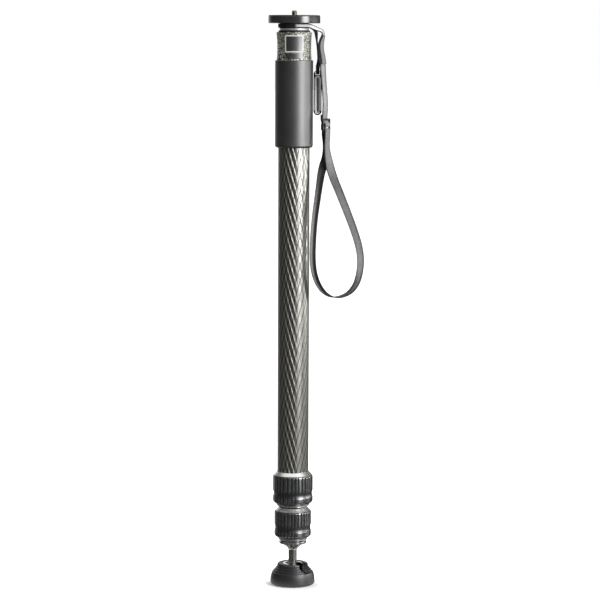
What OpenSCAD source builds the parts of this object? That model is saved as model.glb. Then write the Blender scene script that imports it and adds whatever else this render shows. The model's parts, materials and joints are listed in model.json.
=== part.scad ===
// Camera monopod, collapsed: a ball foot, three telescoping carbon sections with two twist locks,
// a foam grip, a head casting with a round camera platform, and a wrist strap looped on its neck.
// Millimetres, +Z up, origin on the sole, under the axis of the pole.

/* [Foot] */
// Largest diameter of the rubber foot
foot_d = 52.5; // [51:0.5:58]
// Diameter where the smooth dome ends and the steps begin
dome_top_d = 48.4; // [47:0.2:50]
// Height of the smooth dome
dome_h = 15; // [14.5:0.5:18]
// Rounding of the edge of the sole
sole_round = 3.8; // [2:0.2:5]
// Number of ring steps on the dome
step_count = 3; // [2:1:3]
// Width of the ledge of a step
step_ledge = 1.6; // [1:0.1:1.8]
// Height of the wall of a step
step_wall = 2; // [1.8:0.1:2.5]
// Height of the rounded rim above the steps
rim_h = 3.3; // [3:0.1:5]
// Thickness of the rubber under the socket
sole_t = 2.6; // [2:0.1:3]

/* [Ball joint] */
// Diameter of the ball
ball_d = 18; // [16:0.5:19]
// Thickness of the liner cup under the ball
liner_t = 1.14; // [0.9:0.02:1.4]
// Thickness of the socket's floor under the liner
socket_floor = 1.1; // [0.8:0.1:1.5]
// Diameter of the steel stem
stem_d = 10; // [9:0.5:10.5]
// Length of the stem from the ball's centre to the end ferrule
stem_l = 27.1; // [26:0.1:34]
// Room beside the stem in the notch
notch_side = 2.5; // [2.3:0.1:3]
// Direction of the notch, from +X towards the back
notch_dir = -40; // [-60:1:-20]
// Largest tilt of the stem into the notch
tilt_max = 70; // [60:1:72]

/* [Pole] */
// Outer diameter of the upper carbon tube
upper_tube_d = 36.6; // [34:0.2:40]
// Wall of every carbon tube
tube_wall = 1.5; // [1.2:0.1:1.8]
// Radial gap between two tubes, filled by the guide shells
slide_gap = 0.8; // [0.6:0.05:1.2]
// Bare length of the upper tube between its lock and the grip
upper_show = 380; // [300:5:450]
// Length of the guide shells
guide_l = 22; // [15:1:40]
// Height of the rim of the end ferrule
ferrule_rim_h = 3; // [2:0.5:5]
// Height of the cone of the end ferrule
ferrule_cone_h = 7.6; // [6:0.2:12]
// Width of the end ferrule's rim outside the lower tube
ferrule_lip = 2.5; // [2:0.1:4]
// Length of the end ferrule's plug inside the lower tube
ferrule_plug_l = 24; // [21:1:40]

/* [Twist locks] */
// Thickness of the upper lock's rubber over its metal core
upper_lock_t = 1.85; // [1.6:0.05:3.4]
// Thickness of the lower lock's rubber over its metal core
lower_lock_t = 2.3; // [1.9:0.05:3.6]
// Length of the upper lock's rubber collar
upper_lock_l = 33.2; // [30:0.2:45]
// Length of the lower lock's rubber collar
lower_lock_l = 31.4; // [30:0.2:45]
// Height of the bright ring under each rubber collar
lock_ring_h = 2.7; // [2.6:0.1:4]
// Radial width of the bright ring round the tube that slides in it
lock_ring_w = 3.2; // [2.8:0.1:3.4]
// Height of the bright bevel above each rubber collar
bevel_h = 4.4; // [3:0.2:8]
// Depth of the waist of the rubber collars
waist_depth = 0.9; // [0.4:0.1:1.1]
// Number of flutes round each rubber collar
flute_count = 32; // [24:1:36]
// Diameter of a flute
flute_d = 2; // [1.4:0.1:2.4]
// Depth of a flute
flute_depth = 0.45; // [0.2:0.05:0.6]
// Gap between a lock and what stands under it when the pole is collapsed
lock_gap = 1.7; // [1.2:0.1:4]

/* [Grip and head] */
// Thickness of the foam grip on the upper tube
grip_t = 3.7; // [2.7:0.1:4.7]
// Length of the foam grip
grip_l = 101; // [80:1:140]
// Rounding of the lower end of the grip
grip_round = 3; // [1:0.2:3.4]
// Diameter of the head casting at its top
casting_d = 41.3; // [40.8:0.1:43]
// How much narrower the head casting is at its foot, in diameter
casting_taper = 0.9; // [0:0.1:1]
// Depth of the waist of the casting
casting_waist = 0.85; // [0.2:0.05:1]
// Height of the head casting
casting_h = 32.2; // [30:0.2:40]
// Thickness of the casting's top wall
casting_top_t = 8; // [6:0.5:10]
// Diameter of the black washer on the casting
washer_d = 36.8; // [35:0.2:39]
// Thickness of the black washer
washer_h = 2; // [1:0.1:3]
// Diameter of the bright ring under the neck
ring_d = 34; // [33:0.2:36]
// Height of the bright ring
ring_h = 2.6; // [1.5:0.1:4]
// Diameter of the neck that carries the strap
neck_d = 33.7; // [32:0.1:34]
// Height of the neck
neck_h = 5.7; // [5.6:0.1:7]
// Width of the blank plate on the casting
plate_w = 21.4; // [16:0.2:24]
// Height of the blank plate
plate_h = 19.6; // [16:0.2:20]
// Border of the blank plate
plate_border = 1.4; // [0.8:0.1:2]
// Height of the small blank label under the plate
label_h = 5.4; // [3:0.2:6]

/* [Platform] */
// Diameter of the camera platform
disc_d = 60; // [54:0.5:70]
// Thickness of the platform under its pad
disc_h = 8; // [7.5:0.1:12]
// Thickness of the platform's pad
pad_h = 1.2; // [0.8:0.1:2]
// Major diameter of the camera screw
screw_d = 6.35; // [6.35:3.175:9.525]
// Height of the camera screw above the pad
screw_h = 5.5; // [4:0.1:8]
// Diameter of the screw's shank inside the platform
shank_d = 9.525; // [9.525:0.1:10.5]
// Diameter of the locking screws under the platform
set_screw_d = 4; // [3:0.5:5]
// Number of locking screws
set_screw_count = 3; // [2:1:4]

/* [Strap] */
// Width of the wrist webbing
strap_w = 10; // [8:0.5:10]
// Width of the webbing where it is folded round the neck
neck_strap_w = 4.8; // [4:0.1:5]
// Thickness of the webbing
strap_t = 1.4; // [1:0.1:1.6]
// Width of the snap hook
hook_w = 9.4; // [8:0.2:10]
// Length of the snap hook
hook_l = 52; // [46:1:54]
// Thickness of the snap hook
hook_t = 3.2; // [2.6:0.1:3.6]
// Diameter of the bars of the strap slider
slider_bar_d = 2.2; // [1.8:0.1:2.4]

/* [Hidden] */
$fn = 96;

// Fits: glued faces, running faces, and faces that pass each other freely
glue = 0.05;
running = 0.06;
free = 0.35;
eps = 0.01;
big = 200;

// Foot and ball joint
foot_r = foot_d / 2;
dome_top_r = dome_top_d / 2;
step_draft = 0.4;
step_rise = 0.4;
steps_top_r = dome_top_r - step_count * (step_ledge + step_draft);
steps_top_z = dome_h + step_count * (step_wall + step_rise);
foot_h = steps_top_z + rim_h;
rim_round = 2.4;
ball_r = ball_d / 2;
liner_in_r = ball_r + running;
liner_out_r = liner_in_r + liner_t;
cavity_r = liner_out_r + running;
ball_z = sole_t + socket_floor + cavity_r;
liner_drop = 3;
stem_r = stem_d / 2;
notch_w = stem_d + 2 * notch_side;
ring_seat = 1.8;
retainer_r = cavity_r + ring_seat;
retainer_z = ball_z + 3.2;
retainer_top = foot_h - 0.3;
retainer_hold = 1;
retainer_flare = 0.9;
socket_wall = 3.4;
socket_r = retainer_r + socket_wall;
socket_top = ball_z + 7;
spigot_r = stem_r - 0.8;
spigot_l = 18;

// Tubes, from the outside in
upper_r = upper_tube_d / 2;
middle_r = upper_r - tube_wall - slide_gap;
lower_r = middle_r - tube_wall - slide_gap;
guide_gap = 0.08;
guide_t = slide_gap - guide_gap - glue;

// Heights up the collapsed pole
ferrule_gap = 0.35;
ferrule_z = ball_z + stem_l + ferrule_gap;
ferrule_rim_z = ferrule_z + ferrule_cone_h;
lower_tube_z = ferrule_rim_z + ferrule_rim_h;
collar_gap = 0.4;
lower_lock_z = lower_tube_z + lock_gap;
lower_bevel_z = lower_lock_z + lock_ring_h + lower_lock_l + collar_gap;
upper_lock_z = lower_bevel_z + bevel_h + lock_gap;
upper_bevel_z = upper_lock_z + lock_ring_h + upper_lock_l + collar_gap;
grip_z = upper_bevel_z + bevel_h + upper_show;
casting_z = grip_z + grip_l;
casting_top = casting_z + casting_h;
casting_floor = casting_top - casting_top_t;
ring_z = casting_top + washer_h;
neck_z = ring_z + ring_h;
disc_z = neck_z + neck_h;
pad_z = disc_z + disc_h;
deck_z = pad_z + pad_h;
middle_nest = 40;
lower_nest = 20;
middle_top = casting_z - middle_nest;
lower_top = middle_top - lower_nest;
guide_end = 3;

// Inside a twist lock, counted up from the underside of its bright ring
lip_h = 3.6;
seal_z = 1.1;
seal_h = 1.4;
seal_w = 0.9;
collet_z = lip_h + 0.3;
collet_cone_h = 4.2;
collet_h = 16;
collet_foot_w = 1;
collet_slit = 1.6;
core_step = lip_h + collet_cone_h + 1.2;
sleeve_z = core_step + 1.2;
tube_seat = collet_z + collet_h + 1.2;
sleeve_t = 1.7;
thread_gap = 0.3;
core_wall = 1.3;
upper_lock_d = 2 * (core_r(upper_r) + upper_lock_t);
lower_lock_d = 2 * (core_r(middle_r) + lower_lock_t);

// Rubber collar outline, counted up from its lower edge
collar_chamfer = 2.6;
collar_waist_z = 12;
collar_waist_half = 4.5;
collar_top_round = 1.1;
collar_lip = 1;

// Head
grip_r = upper_r + grip_t;
casting_plug_l = 28;
casting_plug_wall = 1.6;
neck_r = neck_d / 2;
post_spigot_r = 10;
bolt_r = 4;
bolt_head_r = 6.5;
bolt_head_h = 8;
disc_r = disc_d / 2;
pad_edge = 0.5;
shank_r = shank_d / 2;
shank_top = deck_z;
set_circle_r = (neck_r + disc_r) / 2;
plate_t = 0.7;
panel_t = 0.45;
panel_gap = 0.1;
plate_drop = 3.5;
label_gap = 1.2;
label_inset = 0.8;
plate_z = casting_top - plate_drop - plate_h;
label_z = plate_z - label_gap - label_h;
label_w = plate_w - 2 * label_inset;
casting_steps = 12;

// Strap, counted from the middle of the neck: each row of a route is a point, the direction of the
// webbing's width there, and its width
strap_gap = 0.5;
strap_r = neck_r + strap_gap + strap_t / 2;
strap_z = neck_z + neck_h / 2;
up = [0, 0, 1];
neck_turn = 57;
neck_steps = 16;

// Snap hook
hook_x = grip_r + strap_gap + hook_w / 2;
hook_top = [hook_x, 0, -51];
hook_wall = 1.5;
hook_gap = 0.3;
hook_pin_r = 0.8;
hook_pin_z = 4.4;
hook_eye_l = 4;
hook_bar_l = 1.5;
hook_turn_at = hook_top - 1.8 * up;
hook_turn_r = hook_t / 2 + free + strap_t / 2;
hook_strap_w = 4.4;

// Slider: three bars along bar_dir; the neck's webbing runs behind the upper bar and round the middle
// one, and the loop hangs on the lower one
slider_at = [37.2, -3, -106.6];
bar_dir = [0.6, 0.8, 0];
bar_out = [-0.8, 0.6, 0];
slider_bar_r = slider_bar_d / 2;
slider_side = 1.8;
slider_slot_w = strap_w + 2 * free;
slider_pitch = slider_bar_d + 2 * (free + strap_t + free);
neck_bar = slider_at - slider_bar_r * up;
middle_bar = neck_bar - slider_pitch * up;
wrist_bar = middle_bar - slider_pitch * up;
wrap_r = slider_bar_r + free + strap_t / 2;
tail_r = wrap_r + strap_t + free;
cross_a = asin(2 * wrap_r / slider_pitch);

neck_route = concat(
    [[hook_turn_at + [0, hook_turn_r, 8], [1, 0, 0], hook_strap_w]],
    [
        for (a = [0:30:180])
            [hook_turn_at + hook_turn_r * [0, cos(a), -sin(a)], [1, 0, 0], hook_strap_w]
    ],
    [
        [[27.2, -2.6, -49.6], [1, 0, 0], hook_strap_w],
        [[27.5, -2.2, -46.4], [0.9, 0.4, 0], hook_strap_w],
        [[27.9, -1.2, -42], [0.55, 0.85, 0], neck_strap_w],
        [[27.9, -0.4, -38], [0.2, 1, 0], 6],
        [[27.5, 0.2, -31], [0.15, 1, 0], 6.5],
        [[27, 0.6, -25], [0.15, 1, 0], 6],
        [[26.1, 1.2, -17], [0.2, 1, 0], 5],
        [[25.6, 2, -12], [0.5, 0.85, 0], neck_strap_w],
        [[25.2, 3.2, -8], [0.6, 0.7, 0.15], neck_strap_w],
        [[24, 5.4, -4.8], [0.65, 0.5, 0.45], neck_strap_w],
        [[21.4, 8.4, -2.2], [0.45, 0.25, 0.8], neck_strap_w],
        [[17.5, 11.6, -0.2], up, neck_strap_w]
    ],
    [
        for (i = [0:neck_steps])
            let (a = neck_turn + i * (360 - 2 * neck_turn) / neck_steps)
            [[strap_r * cos(a), strap_r * sin(a), 0], up, neck_strap_w]
    ],
    [
        [[17.5, -11.6, -0.2], up, neck_strap_w],
        [[22.6, -8.6, -2.2], [0.05, 0.1, 1], neck_strap_w],
        [[27.6, -5.6, -4.2], [0.1, 0.2, 1], 4.4],
        [[31.2, -3.7, -5.6], [0.2, 0.35, 0.9], 4.2],
        [[33.1, -2.7, -7.6], [0.5, 0.65, 0.55], 4.2],
        [[33.1, -2.3, -10.4], [0.6, 0.8, 0.15], 4.8],
        [[32.1, -2, -14], [0.6, 0.8, 0], 6.2],
        [[30.9, -2.2, -18.4], [0.6, 0.8, 0], 8],
        [[30.3, -2.6, -24], [0.58, 0.8, 0], 9],
        [[30.9, -3, -30.5], [0.55, 0.83, 0], 9.5],
        [[32.2, -3.2, -37], [0.55, 0.83, 0], strap_w],
        [[33, -3.3, -44], [0.6, 0.8, 0], strap_w],
        [[33.4, -3.4, -52], [0.6, 0.8, 0], strap_w],
        [[34.2, -3.4, -62.5], [0.55, 0.83, 0], strap_w],
        [[35.2, -3.3, -74], [0.55, 0.83, 0], strap_w],
        [[36.1, -3.1, -85], [0.58, 0.81, 0], strap_w],
        [[36.2, -2.7, -94], bar_dir, strap_w],
        [[35.8, -2.1, -101], bar_dir, strap_w]
    ],
    [
        for (k = [0:3])
            let (a = -cross_a * k / 3)
            [neck_bar + wrap_r * (cos(a) * bar_out + sin(a) * up), bar_dir, strap_w]
    ],
    [
        for (k = [0:10])
            let (a = 180 - cross_a + (180 + cross_a) * k / 10)
            [middle_bar + wrap_r * (cos(a) * bar_out + sin(a) * up), bar_dir, strap_w]
    ],
    [
        [middle_bar + (wrap_r + strap_t / 2) * bar_out + 2.5 * up, bar_dir, strap_w],
        [middle_bar + tail_r * bar_out + 6 * up, bar_dir, strap_w],
        [middle_bar + tail_r * bar_out + 12 * up, bar_dir, strap_w]
    ]
);

// The loop's two ends meet on the lower bar
wrist_route = concat(
    [
        for (k = [0:4])
            let (a = 96 + 21 * k)
            [wrist_bar + wrap_r * (cos(a) * bar_out + sin(a) * up), bar_dir, strap_w]
    ],
    [
        [wrist_bar - wrap_r * bar_out - 5 * up, bar_dir, strap_w],
        [[38.4, -4.3, -134], [0.58, 0.81, 0], strap_w],
        [[38.5, -4.2, -142], [0.64, 0.77, 0], strap_w],
        [[39.6, -4, -150], [0.76, 0.65, 0], strap_w],
        [[40.7, -3.6, -156], [0.88, 0.48, 0], strap_w],
        [[42.2, -2.6, -163], [0.96, 0.28, 0], strap_w],
        [[44.9, -0.6, -172], [1, 0.05, 0], strap_w],
        [[48.2, 3, -181], [0.98, -0.15, 0], strap_w],
        [[52.2, 7.6, -190.5], [0.97, -0.25, 0], strap_w],
        [[61.4, 16, -213.5], [0.95, -0.35, 0], strap_w],
        [[69.8, 23, -235.5], [0.9, -0.45, 0], strap_w],
        [[75.6, 27.4, -253.5], [0.85, -0.5, 0], strap_w],
        [[78.6, 29.4, -268.5], [0.8, -0.6, 0], strap_w],
        [[78.4, 29.4, -284.5], [0.75, -0.65, 0], strap_w],
        [[74.4, 26.4, -300.5], [0.7, -0.7, 0], strap_w],
        [[66.5, 20.5, -311], [0.65, -0.75, 0], strap_w],
        [[56, 12.5, -315.5], [0.65, -0.75, 0], strap_w],
        [[45, 4, -315], [0.65, -0.75, 0], strap_w],
        [[35.4, -4, -308.5], [0.65, -0.75, 0], strap_w],
        [[28.2, -9, -297.5], [0.65, -0.75, 0], strap_w],
        [[24, -12.4, -284.5], [0.65, -0.75, 0], strap_w],
        [[22.4, -13.5, -270.5], [0.65, -0.75, 0], strap_w],
        [[22.4, -13.5, -254.5], [0.65, -0.75, 0], strap_w],
        [[23.2, -12.5, -237.5], [0.65, -0.75, 0], strap_w],
        [[25, -10.8, -218.5], [0.65, -0.75, 0], strap_w],
        [[27.4, -8.2, -200.5], [0.7, -0.7, 0], strap_w],
        [[29.8, -3.8, -184], [0.75, -0.65, 0], strap_w],
        [[31.6, -0.4, -172], [0.85, -0.5, 0], strap_w],
        [[33.8, 1.4, -163], [0.95, -0.25, 0], strap_w],
        [[36.2, 1.2, -155], [0.95, 0.3, 0], strap_w],
        [[37, -0.2, -148], [0.8, 0.6, 0], strap_w],
        [[37, -1.4, -141], [0.66, 0.75, 0], strap_w],
        [[36.5, -2, -133.5], bar_dir, strap_w],
        [wrist_bar + wrap_r * bar_out - 5 * up, bar_dir, strap_w]
    ],
    [
        for (k = [0:4])
            let (a = 21 * k)
            [wrist_bar + wrap_r * (cos(a) * bar_out + sin(a) * up), bar_dir, strap_w]
    ]
);

// Unit vector along v
function unit(v) = v / norm(v);

// Points of a circular arc from angle a0 to a1
function arc(cx, cy, r, a0, a1, n) =
    [for (i = [0:n]) let (a = a0 + i * (a1 - a0) / n) [cx + r * cos(a), cy + r * sin(a)]];

// Direction of travel at row i of a route
function heading(route, i) =
    unit(route[min(i + 1, len(route) - 1)][0] - route[max(i - 1, 0)][0]);

// One flat section of webbing with eased edges, square to the route
function webbing_ring(route, i) =
    let (
        t = heading(route, i),
        side = unit(route[i][1] - (route[i][1] * t) * t),
        face = cross(t, side),
        h = route[i][2] / 2,
        e = strap_t / 4
    )
    [
        for (c = [[h, -e], [h, e], [h - e, 2 * e], [e - h, 2 * e],
                  [-h, e], [-h, -e], [e - h, -2 * e], [h - e, -2 * e]])
            route[i][0] + c[0] * side + c[1] * face
    ];

// Flat webbing swept along a route
module webbing(route) {
    corners = 8;
    last = len(route) - 1;
    polyhedron(
        points = [for (i = [0:last]) each webbing_ring(route, i)],
        faces = concat(
            [for (k = [1:corners - 2]) [0, k, k + 1]],
            [
                for (i = [0:last - 1], k = [0:corners - 1])
                    let (a = i * corners + k, b = i * corners + (k + 1) % corners)
                    each [[a, a + corners, b], [b, a + corners, b + corners]]
            ],
            [for (k = [1:corners - 2]) [last * corners, last * corners + k + 1, last * corners + k]]
        )
    );
}

// Pipe from z0 to z1
module pipe(r_out, r_in, z0, z1) {
    translate([0, 0, z0])
        difference() {
            cylinder(r = r_out, h = z1 - z0);
            translate([0, 0, -1]) cylinder(r = r_in, h = z1 - z0 + 2);
        }
}

// Room for the stem from upright to its largest tilt into the notch
module notch() {
    reach = 60;
    translate([0, 0, ball_z])
        rotate([0, 0, notch_dir]) {
            rotate([0, tilt_max, 0]) cylinder(d = notch_w, h = reach);
            rotate([90, 0, 0])
                linear_extrude(notch_w, center = true)
                    polygon([[0, 0], [reach * sin(tilt_max), reach * cos(tilt_max)],
                             [reach * sin(tilt_max), reach], [0, reach]]);
        }
}

// Outline of the rubber foot from the sole's middle to the rim of its opening
function foot_outline() =
    let (
        rise = dome_h - sole_round,
        dome_arc_r = (pow(foot_r - dome_top_r, 2) + pow(rise, 2)) / (2 * (foot_r - dome_top_r)),
        dome_end = asin(rise / dome_arc_r),
        steps = [
            for (k = [0:step_count - 1])
                let (
                    r = dome_top_r - k * (step_ledge + step_draft) - step_ledge,
                    z = dome_h + k * (step_wall + step_rise) + step_rise
                )
                each [[r, z], [r - step_draft, z + step_wall]]
        ]
    )
    concat(
        [[0, 0]],
        arc(foot_r - sole_round, sole_round, sole_round, -90, 0, 8),
        arc(foot_r - dome_arc_r, sole_round, dome_arc_r, dome_end / 8, dome_end, 7),
        steps,
        arc(steps_top_r - rim_round, foot_h - rim_round, rim_round, 0, 90, 6),
        [[0, foot_h]]
    );

module foot_rubber() {
    color("#2c2c2e")
        difference() {
            rotate_extrude() polygon(foot_outline());
            translate([0, 0, sole_t]) cylinder(r = socket_r + glue, h = socket_top + glue - sole_t);
            translate([0, 0, socket_top]) cylinder(r = retainer_r + free, h = foot_h);
            notch();
        }
}

module foot_socket() {
    color("#56585c")
        difference() {
            translate([0, 0, sole_t]) cylinder(r = socket_r, h = socket_top - sole_t);
            translate([0, 0, ball_z]) sphere(r = cavity_r);
            translate([0, 0, ball_z]) cylinder(r = cavity_r, h = big);
            translate([0, 0, retainer_z]) cylinder(r = retainer_r + glue, h = big);
            notch();
        }
}

module retaining_ring() {
    bore_r = ball_r - retainer_hold;
    throat_z = ball_z + sqrt(pow(ball_r, 2) - pow(bore_r, 2));
    edge = 1.2;
    color("#d9dade")
        difference() {
            rotate_extrude()
                polygon(concat(
                    [[bore_r, retainer_z], [retainer_r, retainer_z]],
                    arc(retainer_r - edge, retainer_top - edge, edge, 0, 90, 5),
                    [[bore_r + retainer_flare, retainer_top], [bore_r, throat_z]]
                ));
            translate([0, 0, ball_z]) sphere(r = ball_r + running);
            notch();
        }
}

module ball_liner() {
    color("#ece8dc")
        translate([0, 0, ball_z])
            difference() {
                sphere(r = liner_out_r);
                sphere(r = liner_in_r);
                translate([-big / 2, -big / 2, -liner_drop]) cube(big);
            }
}

module ball_stud() {
    color("#c9ccd2") {
        translate([0, 0, ball_z]) sphere(r = ball_r);
        translate([0, 0, ball_z]) cylinder(r = stem_r, h = stem_l);
        translate([0, 0, ball_z + stem_l - eps]) cylinder(r = spigot_r, h = spigot_l);
    }
}

module end_ferrule() {
    rim_r = lower_r + ferrule_lip;
    cone_r = rim_r - 3.8;
    tip_r = stem_r + 0.3;
    plug_r = lower_r - tube_wall - glue;
    edge = 0.5;
    color("#6b6d72")
        difference() {
            rotate_extrude()
                polygon([
                    [0, ferrule_z], [tip_r, ferrule_z], [tip_r + edge, ferrule_z + 1.2],
                    [cone_r, ferrule_rim_z - edge], [rim_r - edge, ferrule_rim_z],
                    [rim_r, ferrule_rim_z + edge], [rim_r, lower_tube_z - edge],
                    [rim_r - edge, lower_tube_z], [plug_r, lower_tube_z],
                    [plug_r, lower_tube_z + ferrule_plug_l], [0, lower_tube_z + ferrule_plug_l]
                ]);
            translate([0, 0, ferrule_z - 1])
                cylinder(r = spigot_r + running, h = spigot_l + 1 + 2 * ferrule_gap);
        }
}

module carbon_tube(r, z0, z1) {
    color("#33322c") pipe(r, r - tube_wall, z0, z1);
}

// Two half shells that guide the top of a tube in the next one
module guide_shells(r, top) {
    slit = 2;
    color("#e8e6de")
        difference() {
            pipe(r + glue + guide_t, r + glue, top - guide_end - guide_l, top - guide_end);
            translate([-big / 2, -slit / 2, top - guide_end - guide_l - 1]) cube([big, slit, guide_l + 2]);
        }
}

// Split cone that the collar squeezes on the sliding tube
module collet(z, r_in, r_out) {
    color("#dcdad0")
        translate([0, 0, z])
            difference() {
                rotate_extrude()
                    polygon([
                        [r_in + running, collet_z], [r_in + collet_foot_w, collet_z],
                        [r_out - free, collet_z + collet_cone_h], [r_out - free, collet_z + collet_h],
                        [r_in + running, collet_z + collet_h]
                    ]);
                translate([0, -collet_slit / 2, 0]) cube([big, collet_slit, big]);
            }
}

// Threaded sleeve glued on the end of a tube, with the bright bevel over the collar
module lock_ferrule(z, r_out, bevel_z, lock_d) {
    flange_r = lock_d / 2 - 1.2;
    flange_h = 0.8;
    sleeve_r = r_out + glue + sleeve_t;
    color("#cfd1d4")
        rotate_extrude()
            polygon([
                [r_out + glue, z + sleeve_z], [sleeve_r, z + sleeve_z], [sleeve_r, bevel_z],
                [flange_r, bevel_z], [flange_r, bevel_z + flange_h],
                [r_out + 0.5, bevel_z + bevel_h], [r_out + glue, bevel_z + bevel_h]
            ]);
}

// Outer radius of a collar's metal core
function core_r(r_out) = r_out + glue + sleeve_t + thread_gap + core_wall;

// Metal core of a twist lock: bright ring below, cone for the collet, thread above
module lock_core(z, r_in, r_out, grip_len) {
    ring_r = r_in + lock_ring_w;
    outer_r = core_r(r_out);
    bore_r = outer_r - core_wall;
    edge = 0.5;
    color("#d4d6da")
        translate([0, 0, z])
            difference() {
                rotate_extrude()
                    polygon([
                        [r_in + free, 0], [ring_r - edge, 0], [ring_r, edge], [ring_r, lock_ring_h],
                        [outer_r, lock_ring_h + outer_r - ring_r], [outer_r, lock_ring_h + grip_len],
                        [bore_r, lock_ring_h + grip_len], [bore_r, core_step],
                        [r_out, core_step], [r_in + collet_foot_w + free, lip_h], [r_in + free, lip_h]
                    ]);
                pipe(r_in + seal_w + glue, r_in, seal_z - glue, seal_z + seal_h + glue);
            }
}

// Fluted rubber sleeve on the metal core, with a waist between its two tiers
module lock_sleeve(z, r_in, r_out, lock_d, grip_len) {
    ring_r = r_in + lock_ring_w;
    inner_r = core_r(r_out) + glue;
    outer_r = lock_d / 2;
    waist_r = outer_r - waist_depth;
    top = grip_len;
    color("#1d1e20")
        translate([0, 0, z + lock_ring_h])
            difference() {
                rotate_extrude()
                    polygon(concat(
                        [
                            [ring_r + glue, glue], [ring_r + collar_lip, 0],
                            [outer_r - 0.3, collar_chamfer], [outer_r, collar_chamfer + 1],
                            [outer_r, collar_waist_z - collar_waist_half],
                            [waist_r, collar_waist_z - 0.8], [waist_r, collar_waist_z + 0.8],
                            [outer_r, collar_waist_z + collar_waist_half]
                        ],
                        arc(outer_r - collar_top_round, top - collar_top_round, collar_top_round, 0, 90, 5),
                        [[inner_r, top], [inner_r, inner_r - ring_r]]
                    ));
                for (i = [0:flute_count - 1])
                    rotate([0, 0, i * 360 / flute_count])
                        translate([outer_r + flute_d / 2 - flute_depth, 0, -1])
                            cylinder(d = flute_d, h = grip_len + 2, $fn = 24);
            }
}

// Wiper ring in the mouth of a twist lock
module wiper(z, r_in) {
    color("#111111") pipe(r_in + seal_w, r_in + running, z + seal_z, z + seal_z + seal_h);
}

module lower_tube() { carbon_tube(lower_r, lower_tube_z, lower_top); }

module lower_guides() { guide_shells(lower_r, lower_top); }

module middle_tube() { carbon_tube(middle_r, lower_lock_z + tube_seat, middle_top); }

module middle_guides() { guide_shells(middle_r, middle_top); }

module middle_ferrule() { lock_ferrule(lower_lock_z, middle_r, lower_bevel_z, lower_lock_d); }

module lower_collet() { collet(lower_lock_z, lower_r, middle_r); }

module lower_lock_collar() { lock_core(lower_lock_z, lower_r, middle_r, lower_lock_l); }

module lower_lock_grip() { lock_sleeve(lower_lock_z, lower_r, middle_r, lower_lock_d, lower_lock_l); }

module lower_seal() { wiper(lower_lock_z, lower_r); }

module upper_tube() { carbon_tube(upper_r, upper_lock_z + tube_seat, casting_z); }

module upper_ferrule() { lock_ferrule(upper_lock_z, upper_r, upper_bevel_z, upper_lock_d); }

module upper_collet() { collet(upper_lock_z, middle_r, upper_r); }

module upper_lock_collar() { lock_core(upper_lock_z, middle_r, upper_r, upper_lock_l); }

module upper_lock_grip() { lock_sleeve(upper_lock_z, middle_r, upper_r, upper_lock_d, upper_lock_l); }

module upper_seal() { wiper(upper_lock_z, middle_r); }

module grip_sleeve() {
    edge = 0.5;
    color("#3a3a3c")
        rotate_extrude()
            polygon(concat(
                [[upper_r + glue, grip_z]],
                arc(grip_r - grip_round, grip_z + grip_round, grip_round, -90, 0, 8),
                [[grip_r, casting_z - edge], [grip_r - edge, casting_z], [upper_r + glue, casting_z]]
            ));
}

// Radius of the casting at a share t of its height
function casting_r(t) =
    (casting_d - casting_taper * (1 - t)) / 2 - casting_waist * 4 * t * (1 - t);

// Side of the casting, moved outwards by off
function casting_side(off) =
    [
        for (i = [0:casting_steps])
            let (t = i / casting_steps)
            [casting_r(t) + off, casting_z + t * casting_h]
    ];

// Side of the casting from top to bottom, moved outwards by off
function casting_side_down(off) =
    [
        for (i = [casting_steps:-1:0])
            let (t = i / casting_steps)
            [casting_r(t) + off, casting_z + t * casting_h]
    ];

// Head casting, with a plug glued into the top of the upper tube
module head_casting() {
    plug_r = upper_r - tube_wall - glue;
    plug_z = casting_z - casting_plug_l;
    color("#8a8a82")
        difference() {
            union() {
                rotate_extrude()
                    polygon(concat([[0, casting_z]], casting_side(0), [[0, casting_top]]));
                translate([0, 0, plug_z]) cylinder(r = plug_r, h = casting_plug_l + eps);
            }
            translate([0, 0, plug_z - 1])
                cylinder(r = plug_r - casting_plug_wall, h = casting_floor - plug_z + 1);
            translate([0, 0, casting_z]) cylinder(r = post_spigot_r + glue, h = 2 * casting_h);
        }
}

// Thin curved plate on the front of the casting, from x = -w/2 to w/2
module front_skin(t, w, z0, h) {
    intersection() {
        rotate_extrude() polygon(concat(casting_side(glue + t), casting_side_down(glue)));
        translate([-w / 2, -casting_d, z0]) cube([w, casting_d, h]);
    }
}

module head_plate() {
    window_w = plate_w - 2 * plate_border;
    window_h = plate_h - 2 * plate_border;
    color("#d8d8d4")
        difference() {
            front_skin(plate_t, plate_w, plate_z, plate_h);
            translate([-window_w / 2, -casting_d, plate_z + plate_border])
                cube([window_w, casting_d, window_h]);
        }
}

module head_panel() {
    inset = plate_border + panel_gap;
    color("#2a2b2d")
        front_skin(panel_t, plate_w - 2 * inset, plate_z + inset, plate_h - 2 * inset);
}

module head_label() {
    color("#2a2b2d") front_skin(panel_t, label_w, label_z, label_h);
}

module neck_washer() {
    color("#161617") pipe(washer_d / 2, post_spigot_r + glue, casting_top, ring_z);
}

module neck_ring() {
    edge = 0.4;
    color("#cfcfcc")
        rotate_extrude()
            polygon([
                [post_spigot_r + glue, ring_z], [ring_d / 2 - edge, ring_z], [ring_d / 2, ring_z + edge],
                [ring_d / 2, neck_z - edge], [ring_d / 2 - edge, neck_z], [post_spigot_r + glue, neck_z]
            ]);
}

module neck_post() {
    color("#222224")
        difference() {
            union() {
                translate([0, 0, neck_z]) cylinder(r = neck_r, h = neck_h);
                translate([0, 0, casting_floor])
                    cylinder(r = post_spigot_r, h = neck_z - casting_floor + eps);
            }
            translate([0, 0, casting_floor - 1]) cylinder(r = bolt_r + glue, h = disc_z - casting_floor - 2);
        }
}

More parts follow.
